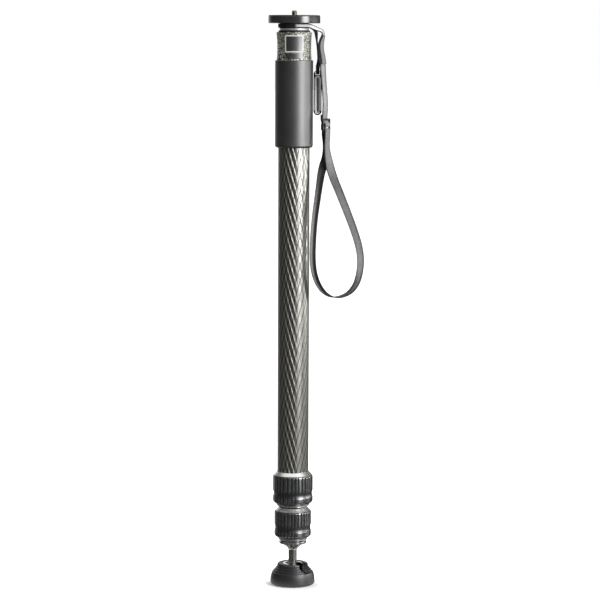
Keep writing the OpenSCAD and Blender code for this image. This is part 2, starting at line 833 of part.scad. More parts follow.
module head_bolt() {
    hex_d = 7;
    color("#8d9096")
        difference() {
            union() {
                translate([0, 0, casting_floor - bolt_head_h]) cylinder(r = bolt_head_r, h = bolt_head_h);
                translate([0, 0, casting_floor - eps]) cylinder(r = bolt_r, h = disc_z - casting_floor - 4);
            }
            translate([0, 0, casting_floor - bolt_head_h - 1])
                cylinder(d = hex_d, h = bolt_head_h / 2 + 1, $fn = 6);
        }
}

// Places of the locking screws round the platform
module at_set_screws() {
    for (i = [0:set_screw_count - 1])
        rotate([0, 0, 90 + i * 360 / set_screw_count]) translate([set_circle_r, 0, 0]) children();
}

module platform_disc() {
    edge = 0.5;
    color("#2b2b2d")
        difference() {
            rotate_extrude()
                polygon([
                    [0, disc_z], [disc_r - edge, disc_z], [disc_r, disc_z + edge],
                    [disc_r, pad_z - edge / 2], [disc_r - edge / 2, pad_z], [0, pad_z]
                ]);
            translate([0, 0, disc_z - 1]) cylinder(r = shank_r + glue, h = disc_h + 2);
            at_set_screws()
                translate([0, 0, disc_z - 1]) cylinder(r = set_screw_d / 2 + glue, h = disc_h + 2);
        }
}

module platform_pad() {
    edge = 0.3;
    color("#121213")
        rotate_extrude()
            polygon([
                [shank_r + 1, pad_z], [disc_r - pad_edge, pad_z], [disc_r - pad_edge, deck_z - edge],
                [disc_r - pad_edge - edge, deck_z], [shank_r + 1, deck_z]
            ]);
}

module camera_screw() {
    edge = 0.6;
    slot_w = 1.2;
    slot_depth = 1.5;
    screw_r = screw_d / 2;
    top = deck_z + screw_h;
    color("#b9b6a6")
        difference() {
            union() {
                translate([0, 0, disc_z]) cylinder(r = shank_r, h = shank_top - disc_z);
                translate([0, 0, shank_top - eps]) cylinder(r = screw_r, h = top - edge - shank_top + eps);
                translate([0, 0, top - edge - eps])
                    cylinder(r1 = screw_r, r2 = screw_r - edge, h = edge + eps);
            }
            translate([-big / 2, -slot_w / 2, top - slot_depth]) cube([big, slot_w, big]);
        }
}

module set_screws() {
    recess = 0.8;
    hex_d = 2;
    hex_depth = 2.5;
    color("#77797e")
        at_set_screws()
            difference() {
                translate([0, 0, disc_z + recess]) cylinder(d = set_screw_d, h = disc_h - 2 * recess);
                translate([0, 0, disc_z + recess - 1]) cylinder(d = hex_d, h = hex_depth + 1, $fn = 6);
            }
}

module neck_strap() {
    color("#77777a") translate([0, 0, strap_z]) webbing(neck_route);
}

module wrist_strap() {
    color("#77777a") translate([0, 0, strap_z]) webbing(wrist_route);
}

// Three round bars between two side rails; the webbing runs over the outer bars
module strap_slider() {
    rail_h = 2 * slider_pitch + slider_bar_d;
    bar_l = slider_slot_w + 2 * slider_side;
    color("#2a2a2c")
        translate(slider_at + strap_z * up)
            rotate([0, 0, atan2(bar_dir[1], bar_dir[0])])
                union() {
                    for (k = [0:2])
                        translate([-bar_l / 2, 0, -slider_bar_r - k * slider_pitch])
                            rotate([0, 90, 0]) cylinder(r = slider_bar_r, h = bar_l);
                    for (s = [-1, 1])
                        translate([s * (bar_l - slider_side) / 2, 0, -rail_h / 2])
                            cube([slider_side, slider_bar_d, rail_h - slider_bar_d / 2], center = true);
                }
}

// Upright plate with round ends, its top at z = 0
module round_plate(w, l, t) {
    rotate([90, 0, 0])
        linear_extrude(t, center = true) {
            translate([0, -w / 2]) circle(d = w);
            translate([0, w / 2 - l]) circle(d = w);
            translate([-w / 2, w / 2 - l]) square([w, l - w]);
        }
}

module hook_frame() {
    inner_w = hook_w - 2 * hook_wall;
    eye_w = hook_strap_w + 2 * free;
    gate_z = hook_wall + hook_eye_l + hook_bar_l;
    color("#1a1a1b")
        translate(hook_top + strap_z * up)
            difference() {
                round_plate(hook_w, hook_l, hook_t);
                translate([0, 0, -gate_z]) round_plate(inner_w, hook_l - gate_z - hook_wall, hook_t + 1);
                translate([-eye_w / 2, -hook_t, -hook_wall - hook_eye_l])
                    cube([eye_w, 2 * hook_t, hook_eye_l]);
                translate([-hook_w, 0, hook_pin_z - hook_l])
                    rotate([0, 90, 0]) cylinder(r = hook_pin_r + glue, h = 2 * hook_w, $fn = 32);
            }
}

module hook_gate() {
    gate_w = hook_w - 2 * (hook_wall + hook_gap);
    gate_top = hook_wall + hook_eye_l + hook_bar_l + hook_gap;
    gate_t = hook_t - 1;
    color("#8b8b8d")
        translate(hook_top + strap_z * up)
            difference() {
                translate([0, 0, -gate_top])
                    round_plate(gate_w, hook_l - gate_top - hook_wall - hook_gap, gate_t);
                translate([-hook_w, 0, hook_pin_z - hook_l])
                    rotate([0, 90, 0]) cylinder(r = hook_pin_r + running, h = 2 * hook_w, $fn = 32);
            }
}

module hook_pin() {
    color("#b5b7bb")
        translate(hook_top + [0, 0, strap_z + hook_pin_z - hook_l])
            rotate([0, 90, 0]) cylinder(r = hook_pin_r, h = hook_w - 0.2, center = true, $fn = 32);
}

foot_rubber();
foot_socket();
retaining_ring();
ball_liner();
ball_stud();
end_ferrule();
lower_tube();
lower_guides();
middle_tube();
middle_guides();
middle_ferrule();
lower_collet();
lower_lock_collar();
lower_lock_grip();
lower_seal();
upper_tube();
upper_ferrule();
upper_collet();
upper_lock_collar();
upper_lock_grip();
upper_seal();
grip_sleeve();
head_casting();
head_plate();
head_panel();
head_label();
neck_washer();
neck_ring();
neck_post();
head_bolt();
platform_disc();
platform_pad();
camera_screw();
set_screws();
neck_strap();
strap_slider();
wrist_strap();
hook_frame();
hook_gate();
hook_pin();
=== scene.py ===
"""Looks of the camera monopod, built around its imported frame. Lengths in the tables are millimetres."""

import json
import math

import bmesh
import bpy
from mathutils import Matrix, Vector


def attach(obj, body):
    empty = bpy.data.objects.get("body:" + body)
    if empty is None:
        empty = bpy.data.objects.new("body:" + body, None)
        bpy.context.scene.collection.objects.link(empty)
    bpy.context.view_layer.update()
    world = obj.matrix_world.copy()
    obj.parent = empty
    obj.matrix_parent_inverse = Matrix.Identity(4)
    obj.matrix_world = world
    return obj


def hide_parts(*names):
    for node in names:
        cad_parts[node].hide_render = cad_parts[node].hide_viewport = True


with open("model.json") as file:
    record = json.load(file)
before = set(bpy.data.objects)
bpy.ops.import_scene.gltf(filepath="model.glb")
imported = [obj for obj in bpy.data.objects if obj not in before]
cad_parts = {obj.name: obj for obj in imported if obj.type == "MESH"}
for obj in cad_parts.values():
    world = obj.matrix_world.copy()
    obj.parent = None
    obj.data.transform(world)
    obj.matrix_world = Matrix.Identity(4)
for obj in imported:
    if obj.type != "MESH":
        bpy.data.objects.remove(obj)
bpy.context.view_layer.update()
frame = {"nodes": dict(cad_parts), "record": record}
nodes = frame["nodes"]
scene = bpy.context.scene
MM = 0.001
TURN = 2 * math.pi

# Camera
CAMERA_LENS = 144.6
CAMERA_SENSOR = 36
CAMERA_AT = Vector((0.0077, -2.8, 0.636))
CAMERA_PITCH = math.radians(83.91)
CAMERA_ROLL = math.radians(0.2)
camera_data = bpy.data.cameras.new("camera")
camera_data.lens = CAMERA_LENS
camera_data.sensor_width = CAMERA_SENSOR
camera = bpy.data.objects.new("camera", camera_data)
scene.collection.objects.link(camera)
camera.matrix_world = (
    Matrix.Translation(CAMERA_AT)
    @ Matrix.Rotation(CAMERA_PITCH, 4, "X")
    @ Matrix.Rotation(CAMERA_ROLL, 4, "Z")
)
scene.camera = camera


# Meshes
def make_object(name, verts, faces, sharp=40):
    """Smooth mesh object from points in millimetres, its edges over sharp degrees kept sharp."""
    mesh = bpy.data.meshes.new(name)
    mesh.from_pydata([Vector(v) * MM for v in verts], [], faces)
    bm = bmesh.new()
    bm.from_mesh(mesh)
    bmesh.ops.remove_doubles(bm, verts=bm.verts, dist=1e-7)
    bmesh.ops.recalc_face_normals(bm, faces=bm.faces)
    for face in bm.faces:
        face.smooth = True
    for edge in bm.edges:
        if len(edge.link_faces) == 2:
            edge.smooth = edge.calc_face_angle() < math.radians(sharp)
    bm.to_mesh(mesh)
    bm.free()
    obj = bpy.data.objects.new(name, mesh)
    scene.collection.objects.link(obj)
    return obj


def circle(radius, z, segments):
    """Ring of points at height z."""
    turns = [TURN * i / segments for i in range(segments)]
    return [(radius * math.cos(a), radius * math.sin(a), z) for a in turns]


def bands(count, n, base=0):
    """Faces between neighbours of count rings, n points each."""
    faces = []
    for k in range(count - 1):
        here = base + k * n
        for i in range(n):
            j = (i + 1) % n
            faces.append((here + i, here + j, here + n + j, here + n + i))
    return faces


def caps(count, n, base=0):
    """End faces of count rings, n points each."""
    last = base + (count - 1) * n
    return [tuple(base + i for i in range(n)), tuple(last + i for i in range(n))]


def round_grid(count, n):
    """Faces of count outlines round an axis, n points each, closed both ways."""
    faces = []
    for i in range(count):
        j = (i + 1) % count
        for k in range(n):
            m = (k + 1) % n
            faces.append((i * n + k, j * n + k, j * n + m, i * n + m))
    return faces


def round_corner(before, here, after, radius, steps):
    """Arc that rounds the corner at here, between its two neighbours, with a support point each side."""
    a = (before - here).normalized()
    b = (after - here).normalized()
    half = a.angle(b) / 2
    cut = radius / math.tan(half)
    centre = here + (a + b).normalized() * radius / math.sin(half)
    start = here + a * cut - centre
    sweep = math.pi - 2 * half
    if start.x * (here - centre).y - start.y * (here - centre).x < 0:
        sweep = -sweep
    support = 0.06
    points = [here + a * (cut + support)]
    for i in range(steps + 1):
        turn = sweep * i / steps
        c = math.cos(turn)
        s = math.sin(turn)
        points.append(centre + Vector((start.x * c - start.y * s, start.x * s + start.y * c)))
    points.append(here + b * (cut + support))
    return points


def rounded(corners, radius, steps):
    """Closed outline from corners of radius and height, all rounded."""
    out = []
    points = [Vector(corner) for corner in corners]
    for i, here in enumerate(points):
        out += round_corner(points[i - 1], here, points[(i + 1) % len(points)], radius, steps)
    return out


def lathe(name, outline, segments):
    """Solid of revolution from a closed outline of radius and height."""
    verts = []
    for i in range(segments):
        a = TURN * i / segments
        verts += [(p[0] * math.cos(a), p[0] * math.sin(a), p[1]) for p in outline]
    return make_object(name, verts, round_grid(segments, len(outline)))


# Strap routes, counted from the middle of the neck: point, direction of the width, width
STRAP_Z = 655.66
STRAP_T = 1.4
STRAP_W = 10
NECK_W = 4.8
HOOK_W = 4.4
STRAP_R = 18.05
UP = Vector((0, 0, 1))
HOOK_TURN = Vector((27.2, 0, -52.8))
HOOK_TURN_R = 2.65
BAR_PITCH = 6.4
NECK_BAR = Vector((37.2, -3, -107.7))
MIDDLE_BAR = NECK_BAR - BAR_PITCH * UP
WRIST_BAR = MIDDLE_BAR - BAR_PITCH * UP
WRAP_R = 2.15
TAIL_R = 3.9
BAR_DIR = Vector((0.6, 0.8, 0))
BAR_OUT = Vector((-0.8, 0.6, 0))
CROSS = math.degrees(math.asin(2 * WRAP_R / BAR_PITCH))
ACROSS = Vector((1, 0, 0))
# The lowest webbing tone is painted shade, used where the strap lies in shade
PAINTED_SHADE_TONE = 0.02
FOLD_TONE = 0.24
THREAD_TONE = 0.6
BORDER_FROM = 3
NECK_TURN = 57
NECK_STEPS = 16
ROUTE_STEP = 1.5
STITCH_SINK = 0.05
SEAM_MARGIN = 0.8


def wrap(centre, radius, first, second, start, stop, steps, side, width):
    """Rows of a turn round a bar, from angle start to stop."""
    rows = []
    for k in range(steps + 1):
        a = math.radians(start + k * (stop - start) / steps)
        point = centre + radius * (math.cos(a) * first + math.sin(a) * second)
        rows.append((point, side, width))
    return rows


def bar_wrap(bar, start, stop, steps):
    """Rows of a turn round one of the slider's bars."""
    return wrap(bar, WRAP_R, BAR_OUT, UP, start, stop, steps, BAR_DIR, STRAP_W)


NECK_ROUTE = (
    [(HOOK_TURN + Vector((0, HOOK_TURN_R, 8)), ACROSS, HOOK_W)]
    + wrap(HOOK_TURN, HOOK_TURN_R, Vector((0, 1, 0)), -UP, 0, 180, 6, ACROSS, HOOK_W)
    + [
        ((27.2, -2.6, -49.6), ACROSS, HOOK_W),
        ((27.5, -2.2, -46.4), (0.9, 0.4, 0), HOOK_W),
        ((27.9, -1.2, -42), (0.55, 0.85, 0), NECK_W),
        ((27.9, -0.4, -38), (0.2, 1, 0), 6),
        ((27.5, 0.2, -31), (0.15, 1, 0), 6.5),
        ((27, 0.6, -25), (0.15, 1, 0), 6),
        ((26.1, 1.2, -17), (0.2, 1, 0), 5),
        ((25.6, 2, -12), (0.5, 0.85, 0), NECK_W),
        ((25.2, 3.2, -8), (0.6, 0.7, 0.15), NECK_W),
        ((24, 5.4, -4.8), (0.65, 0.5, 0.45), NECK_W),
        ((21.4, 8.4, -2.2), (0.45, 0.25, 0.8), NECK_W),
        ((17.5, 11.6, -0.2), UP, NECK_W),
    ]
    + wrap(
        Vector((0, 0, 0)), STRAP_R, ACROSS, Vector((0, 1, 0)),
        NECK_TURN, 360 - NECK_TURN, NECK_STEPS, UP, NECK_W,
    )
    + [
        ((17.5, -11.6, -0.2), UP, NECK_W),
        ((22.6, -8.6, -2.2), (0.05, 0.1, 1), NECK_W),
        ((27.6, -5.6, -4.2), (0.1, 0.2, 1), 4.4),
        ((31.2, -3.7, -5.6), (0.2, 0.35, 0.9), 4.2),
        ((33.1, -2.7, -7.6), (0.5, 0.65, 0.55), 4.2),
        ((33.1, -2.3, -10.4), (0.6, 0.8, 0.15), 4.8),
        ((32.1, -2, -14), (0.6, 0.8, 0), 6.2),
        ((30.9, -2.2, -18.4), (0.6, 0.8, 0), 8),
        ((30.3, -2.6, -24), (0.58, 0.8, 0), 9),
        ((30.9, -3, -30.5), (0.55, 0.83, 0), 9.5),
        ((32.2, -3.2, -37), (0.55, 0.83, 0), STRAP_W),
        ((33, -3.3, -44), (0.6, 0.8, 0), STRAP_W),
        ((33.4, -3.4, -52), (0.6, 0.8, 0), STRAP_W),
        ((34.2, -3.4, -62.5), (0.55, 0.83, 0), STRAP_W),
        ((35.2, -3.3, -74), (0.55, 0.83, 0), STRAP_W),
        ((36.1, -3.1, -85), (0.58, 0.81, 0), STRAP_W),
        ((36.2, -2.7, -94), BAR_DIR, STRAP_W),
        ((35.8, -2.1, -101), BAR_DIR, STRAP_W),
    ]
    + bar_wrap(NECK_BAR, 0, -CROSS, 3)
    + bar_wrap(MIDDLE_BAR, 180 - CROSS, 360, 10)
    + [
        (MIDDLE_BAR + (WRAP_R + STRAP_T / 2) * BAR_OUT + 2.5 * UP, BAR_DIR, STRAP_W),
        (MIDDLE_BAR + TAIL_R * BAR_OUT + 6 * UP, BAR_DIR, STRAP_W),
        (MIDDLE_BAR + TAIL_R * BAR_OUT + 12 * UP, BAR_DIR, STRAP_W),
    ]
)

WRIST_ROUTE = (
    bar_wrap(WRIST_BAR, 96, 180, 4)
    + [
        (WRIST_BAR - WRAP_R * BAR_OUT - 5 * UP, BAR_DIR, STRAP_W),
        ((38.4, -4.3, -134), (0.58, 0.81, 0), STRAP_W),
        ((38.5, -4.2, -142), (0.64, 0.77, 0), STRAP_W),
        ((39.6, -4, -150), (0.76, 0.65, 0), STRAP_W),
        ((40.7, -3.6, -156), (0.88, 0.48, 0), STRAP_W),
        ((42.2, -2.6, -163), (0.96, 0.28, 0), STRAP_W),
        ((44.9, -0.6, -172), (1, 0.05, 0), STRAP_W),
        ((48.2, 3, -181), (0.98, -0.15, 0), STRAP_W),
        ((52.2, 7.6, -190.5), (0.97, -0.25, 0), STRAP_W),
        ((61.4, 16, -213.5), (0.95, -0.35, 0), STRAP_W),
        ((69.8, 23, -235.5), (0.9, -0.45, 0), STRAP_W),
        ((75.6, 27.4, -253.5), (0.85, -0.5, 0), STRAP_W),
        ((78.6, 29.4, -268.5), (0.8, -0.6, 0), STRAP_W),
        ((78.4, 29.4, -284.5), (0.75, -0.65, 0), STRAP_W),
        ((74.4, 26.4, -300.5), (0.7, -0.7, 0), STRAP_W),
        ((66.5, 20.5, -311), (0.65, -0.75, 0), STRAP_W),
        ((56, 12.5, -315.5), (0.65, -0.75, 0), STRAP_W),
        ((45, 4, -315), (0.65, -0.75, 0), STRAP_W),
        ((35.4, -4, -308.5), (0.65, -0.75, 0), STRAP_W),
        ((28.2, -9, -297.5), (0.65, -0.75, 0), STRAP_W),
        ((24, -12.4, -284.5), (0.65, -0.75, 0), STRAP_W),
        ((22.4, -13.5, -270.5), (0.65, -0.75, 0), STRAP_W),
        ((22.4, -13.5, -254.5), (0.65, -0.75, 0), STRAP_W),
        ((23.2, -12.5, -237.5), (0.65, -0.75, 0), STRAP_W),
        ((25, -10.8, -218.5), (0.65, -0.75, 0), STRAP_W),
        ((27.4, -8.2, -200.5), (0.7, -0.7, 0), STRAP_W),
        ((29.8, -3.8, -184), (0.75, -0.65, 0), STRAP_W),
        ((31.6, -0.4, -172), (0.85, -0.5, 0), STRAP_W),
        ((33.8, 1.4, -163), (0.95, -0.25, 0), STRAP_W),
        ((36.2, 1.2, -155), (0.95, 0.3, 0), STRAP_W),
        ((37, -0.2, -148), (0.8, 0.6, 0), STRAP_W),
        ((37, -1.4, -141), (0.66, 0.75, 0), STRAP_W),
        ((36.5, -2, -133.5), BAR_DIR, STRAP_W),
        (WRIST_BAR + WRAP_R * BAR_OUT - 5 * UP, BAR_DIR, STRAP_W),
    ]
    + bar_wrap(WRIST_BAR, 0, 84, 4)
)


def smooth_route(route):
    """The route as a smooth curve: rows of point, heading, side, face and width."""
    rows = []
    points = [Vector(row[0]) + STRAP_Z * UP for row in route]
    sides = [Vector(row[1]).normalized() for row in route]
    last = len(route) - 1
    for i in range(last):
        p0 = points[max(i - 1, 0)]
        p1 = points[i]
        p2 = points[i + 1]
        p3 = points[min(i + 2, last)]
        d01 = max((p1 - p0).length, 1e-6)
        d12 = (p2 - p1).length
        d23 = max((p3 - p2).length, 1e-6)
        m1 = (p2 - p0) * d12 / (d01 + d12) if i > 0 else p2 - p1
        m2 = (p3 - p1) * d12 / (d12 + d23) if i + 1 < last else p2 - p1
        parts = max(1, round(d12 / ROUTE_STEP))
        for k in range(parts + (i == last - 1)):
            t = k / parts
            h1 = 2 * t**3 - 3 * t**2 + 1
            h2 = t**3 - 2 * t**2 + t
            h3 = t**3 - t**2
            point = h1 * p1 + h2 * m1 + h3 * m2 + (1 - h1) * p2
            side = sides[i].lerp(sides[i + 1], t)
            width = route[i][2] + t * (route[i + 1][2] - route[i][2])
            rows.append([point, side, width])
    out = []
    for i, (point, side, width) in enumerate(rows):
        ahead = rows[min(i + 1, len(rows) - 1)][0] - rows[max(i - 1, 0)][0]
        heading = ahead.normalized()
        side = (side - side.dot(heading) * heading).normalized()
        out.append((point, heading, side, heading.cross(side), width))
    return out


def strap_section(width):
    """Ring of across and through values of flat webbing: a thin body with two fuller selvedges."""
    half = [-1, -0.97, -0.9, -0.8, -0.7, -0.45, -0.15, 0.15, 0.45, 0.7, 0.8, 0.9, 0.97, 1]
    fullness = [0.45, 0.85, 1, 0.95, 0.84, 0.86, 0.88, 0.88, 0.86, 0.84, 0.95, 1, 0.85, 0.45]
    top = [(h * width / 2, f * STRAP_T / 2) for h, f in zip(half, fullness)]
    return top + [(x, -y) for x, y in reversed(top)]


def sweep(name, rows, tones):
    """Webbing through smooth rows, lengths across and along in millimetres as UV, and its tones of
    painted light and shade.
    """
    section = strap_section(STRAP_W)
    ring = len(section)
    verts = []
    along = [0]
    for i, (point, _, side, face, width) in enumerate(rows):
        if i:
            along.append(along[-1] + (point - rows[i - 1][0]).length)
        verts += [point + x * side + y * face for x, y in strap_section(width)]
    faces = bands(len(rows), ring)
    half = ring // 2
    for end in (0, (len(rows) - 1) * ring):
        for k in range(half - 1):
            faces.append((end + k, end + k + 1, end + ring - 2 - k, end + ring - 1 - k))
    mesh = bpy.data.meshes.new(name)
    mesh.from_pydata([v * MM for v in verts], [], faces)
    uv = mesh.uv_layers.new(name="weave")
    # The tone attribute holds the strap's painted light and shade
    tone = mesh.attributes.new("tone", "FLOAT", "POINT")
    for v in range(len(verts)):
        left, right, border = tones[v // ring]
        across = section[v % ring][0]
        share = min(max(0.5 + across / 2, 0), 1)
        edge = border if abs(across) > BORDER_FROM else 1
        tone.data[v].value = (left + share * (right - left)) * edge
    for poly in mesh.polygons:
        poly.use_smooth = True
        for loop in poly.loop_indices:
            v = mesh.loops[loop].vertex_index
            uv.data[loop].uv = (section[v % ring][0], along[v // ring])
    bm = bmesh.new()
    bm.from_mesh(mesh)
    bmesh.ops.recalc_face_normals(bm, faces=bm.faces)
    bm.to_mesh(mesh)
    bm.free()
    obj = bpy.data.objects.new(name, mesh)
    scene.collection.objects.link(obj)
    return obj


def toward(vector, goal):
    """The vector or its opposite, whichever points along goal."""
    return vector if vector.dot(goal) >= 0 else -vector


def nearest_row(rows, place):
    """Number of the row nearest to a place counted from the middle of the neck."""
    goal = Vector(place) + STRAP_Z * UP
    return min(range(len(rows)), key=lambda i: (rows[i][0] - goal).length)


def blend_tones_and_painted_light(rows, marks):
    """Tones of painted light and shade on each row left and right of its middle, and their share on the
    borders, from marks.
    """
    found = [(nearest_row(rows, mark[0]), *mark[1:]) for mark in marks]
    tones = []
    for i in range(len(rows)):
        before = max((m for m in found if m[0] <= i), key=lambda m: m[0], default=found[0])
        after = min((m for m in found if m[0] >= i), key=lambda m: m[0], default=found[-1])
        share = (i - before[0]) / max(after[0] - before[0], 1)
        tones.append([before[k] + share * (after[k] - before[k]) for k in (1, 2, 3)])
    return tones


def layer(name, rows, lift, goal, share, tone):
    """A second strip of webbing sewn on the side of the rows that faces goal."""
    lifted = []
    for point, heading, side, face, width in rows:
        lifted.append((point + lift * toward(face, goal), heading, side, face, share * width))
    return sweep(name, lifted, [(tone, tone, 0.5)] * len(lifted))


def stitches(name, seams):
    """Short thick threads across webbing, each seam one of its rows, its spots and the way it faces."""
    verts = []
    faces = []
    rings = 5
    sides = 8
    thread_r = 0.28
    thread_half = 0.75
    for (point, _, side, face, _), spots, goal in seams:
        out = toward(face, goal)
        other = out.cross(side)
        for spot in spots:
            centre = point + spot * side + (STRAP_T / 2 - STITCH_SINK) * out
            base = len(verts)
            for k in range(rings):
                t = -1 + 2 * k / (rings - 1)
                radius = thread_r * math.sqrt(max(1 - t**4, 0.05))
                for m in range(sides):
                    a = TURN * m / sides
                    offset = radius * (math.cos(a) * other + math.sin(a) * out)
                    verts.append(centre + thread_half * t * side + offset)
            faces += bands(rings, sides, base) + caps(rings, sides, base)
    obj = make_object(name, verts, faces, 70)
    tone = obj.data.attributes.new("tone", "FLOAT", "POINT")
    for value in tone.data:
        value.value = THREAD_TONE
    return obj


def strap_piece(obj, body, *replaced):
    """Lets webbing ride on a body in the place of its plain solids."""
    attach(obj, body)
    if replaced:
        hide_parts(*replaced)
    return obj


FRONT = Vector((0.45, -0.9, 0))
neck_rows = smooth_route(NECK_ROUTE)
wrist_rows = smooth_route(WRIST_ROUTE)
# Painted shade on the left of the neck band, in the platform's shadow, and a painted highlight as a white
# band on its right front
NECK_TONE_AND_PAINTED_LIGHT = [
    ((0, -18, 0), PAINTED_SHADE_TONE, PAINTED_SHADE_TONE, 1),
    ((3.4, -17.7, 0), 1.1, 1.1, 0.02),
    ((27.6, -5.6, -4.2), 1.1, 1.1, 0.02),
    ((33.1, -2.3, -10.4), 0.4, 0.4, 0.1),
    ((33, -3.3, -44), 0.4, 0.32, 0.4),
    ((36.1, -3.1, -85), 0.45, 0.32, 0.7),
    ((35.8, -2.1, -101), 0.3, 0.3, 0.7),
]
# Painted light and shade on the wrist loop: bright where it faces the lamps, up to a painted highlight,
# near black on its shaded inner half, at its bottom and near the slider
WRIST_TONE_AND_PAINTED_LIGHT = [
    ((38.5, -4.2, -142), 0.22, 0.22, 0.8),
    ((44.9, -0.6, -172), 0.3, 0.3, 0.8),
    ((61.4, 16, -213.5), 0.75, 0.75, 0.7),
    ((78.6, 29.4, -268.5), 0.9, 0.9, 0.7),
    ((78.4, 29.4, -284.5), 0.7, 0.7, 0.6),
    ((74.4, 26.4, -300.5), 0.14, 0.28, 0.5),
    ((66.5, 20.5, -311), 0.04, 0.1, 0.5),
    ((56, 12.5, -315.5), 0.08, 0.02, 0.5),
    ((45, 4, -315), 0.5, 0.02, 0.6),
    ((28.2, -9, -297.5), 1.0, 0.05, 0.8),
    ((22.4, -13.5, -262), 1.1, 0.08, 0.8),
    ((25, -10.8, -218.5), 0.9, 0.06, 0.8),
    ((29.8, -3.8, -184), 0.25, 0.03, 0.8),
    ((33.8, 1.4, -163), 0.08, PAINTED_SHADE_TONE, 1),
    ((36.5, -2, -133.5), PAINTED_SHADE_TONE, PAINTED_SHADE_TONE, 1),
]
neck_webbing = sweep("neck_webbing", neck_rows, blend_tones_and_painted_light(neck_rows, NECK_TONE_AND_PAINTED_LIGHT))
strap_piece(neck_webbing, "strap", "neck_strap")
wrist_webbing = sweep("wrist_webbing", wrist_rows, blend_tones_and_painted_light(wrist_rows, WRIST_TONE_AND_PAINTED_LIGHT))
strap_piece(wrist_webbing, "wrist", "wrist_strap")

# The fold under the platform is doubled and sewn down
fold_from = nearest_row(neck_rows, (33.1, -2.3, -10.4))
fold_to = nearest_row(neck_rows, (33, -3.3, -44))
fold_layer = layer("fold_layer", neck_rows[fold_from:fold_to + 1], STRAP_T + 0.05, FRONT, 0.9, FOLD_TONE)
strap_piece(fold_layer, "strap")


def seam(rows, place, half=3.6, count=5):
    """One row of stitches across the front of the webbing near a place."""
    row = rows[nearest_row(rows, place)]
    wide = min(half, row[4] / 2 - SEAM_MARGIN)
    spots = [wide * (2 * i / (count - 1) - 1) for i in range(count)]
    return row, spots, FRONT


neck_seams = [
    seam(neck_rows, (36.2, -2.7, -93.5)),
    seam(neck_rows, (36.2, -2.7, -96)),
    seam(neck_rows, (27.5, -2.2, -46.4), 1.4, 3),
]
neck_stitches = strap_piece(stitches("neck_stitches", neck_seams), "strap")
wrist_seams = [
    seam(wrist_rows, (38.8, -4.3, -124.6)),
    seam(wrist_rows, (38.7, -4.3, -127)),
]
wrist_stitches = strap_piece(stitches("wrist_stitches", wrist_seams), "wrist")


# A short tab behind the slider keeps the two straps from sliding apart
TAB_R = 3.7
TAB_W = 9
tab_rows = smooth_route(
    [
        (MIDDLE_BAR + TAB_R * BAR_OUT + 1.5 * UP, BAR_DIR, TAB_W),
        (MIDDLE_BAR + TAB_R * BAR_OUT - 3 * UP, BAR_DIR, TAB_W),
        (WRIST_BAR + TAB_R * BAR_OUT + 0.5 * UP, BAR_DIR, TAB_W),
    ]
)
# Painted shade: the tab behind the slider is near black, as it lies in shade
tab_painted_shade = [(PAINTED_SHADE_TONE, PAINTED_SHADE_TONE, 1)] * len(tab_rows)
keeper_tab = strap_piece(sweep("keeper_tab", tab_rows, tab_painted_shade), "strap")


# Snap hook: a pressed gate leaf with a raised pale rim round a darker panel
GATE_X = 27.2
GATE_R = 2.9
GATE_Z = (554.46, 597.36)
PIN_Z = 557.06
PIN_HOLE_R = 0.95


def stadium(radius, y):
    """Ring of an upright outline with round ends, at depth y."""
    steps = 24
    low = GATE_Z[0] + GATE_R
    high = GATE_Z[1] - GATE_R
    ring = []
    for centre, first in ((high, 0), (low, math.pi)):
        for k in range(steps + 1):
            a = first + math.pi * k / steps
            ring.append((GATE_X + radius * math.cos(a), y, centre + radius * math.sin(a)))
    return ring


def bored(obj, cutter):
    """Takes the cutter out of the object's mesh and removes it."""
    modifier = obj.modifiers.new("bore", "BOOLEAN")
    modifier.operation = "DIFFERENCE"
    modifier.object = cutter
    modifier.solver = "EXACT"
    bpy.context.view_layer.update()
    graph = bpy.context.evaluated_depsgraph_get()
    finished = bpy.data.meshes.new_from_object(obj.evaluated_get(graph))
    obj.modifiers.clear()
    obj.data = finished
    bpy.data.objects.remove(cutter)
    return obj


def leaf():
    """The gate: black edge, rounded rim, sunk panel on both faces, and the hole for its pin."""
    half = [
        (GATE_R, 0.8),
        (2.82, 0.95),
        (2.6, 1.05),
        (2.2, 1.1),
        (1.5, 1.1),
        (1.25, 1.04),
        (1.1, 0.9),
        (1.0, 0.7),
        (0.05, 0.66),
    ]
    path = half[::-1] + [(r, -y) for r, y in half]
    rings = [stadium(r, y) for r, y in path]
    n = len(rings[0])
    verts = [v for ring in rings for v in ring]
    obj = make_object("gate_leaf", verts, bands(len(rings), n) + caps(len(rings), n), 35)
    sides = 32
    reach = 6
    hole = []
    for x in (GATE_X - reach, GATE_X + reach):
        hole += [(x, y, PIN_Z + z) for y, z, _ in circle(PIN_HOLE_R, 0, sides)]
    return bored(obj, make_object("pin_cutter", hole, bands(2, sides) + caps(2, sides)))


gate_leaf = leaf()
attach(gate_leaf, "gate")
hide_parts("hook_gate")


# Tubes
UPPER_R = 18.3
MIDDLE_R = 16
LOWER_R = 13.7
WALL = 1.5
TUBE_EASE = 0.3
TUBE_SIDES = 192


def tube(name, node, body, radius, z0, z1):
    """Carbon tube with eased ends."""
    bore = radius - WALL
    outline = rounded([(radius, z0), (radius, z1), (bore, z1), (bore, z0)], TUBE_EASE, 3)
    obj = lathe(name, outline, TUBE_SIDES)
    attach(obj, body)
    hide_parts(node)
    return obj


upper_carbon = tube("upper_carbon", "upper_tube", "upper_section", UPPER_R, 115.41, 616.01)
middle_carbon = tube("middle_carbon", "middle_tube", "middle_section", MIDDLE_R, 74.81, 576.01)
lower_carbon = tube("lower_carbon", "lower_tube", "lower_section", LOWER_R, 52.01, 556.01)

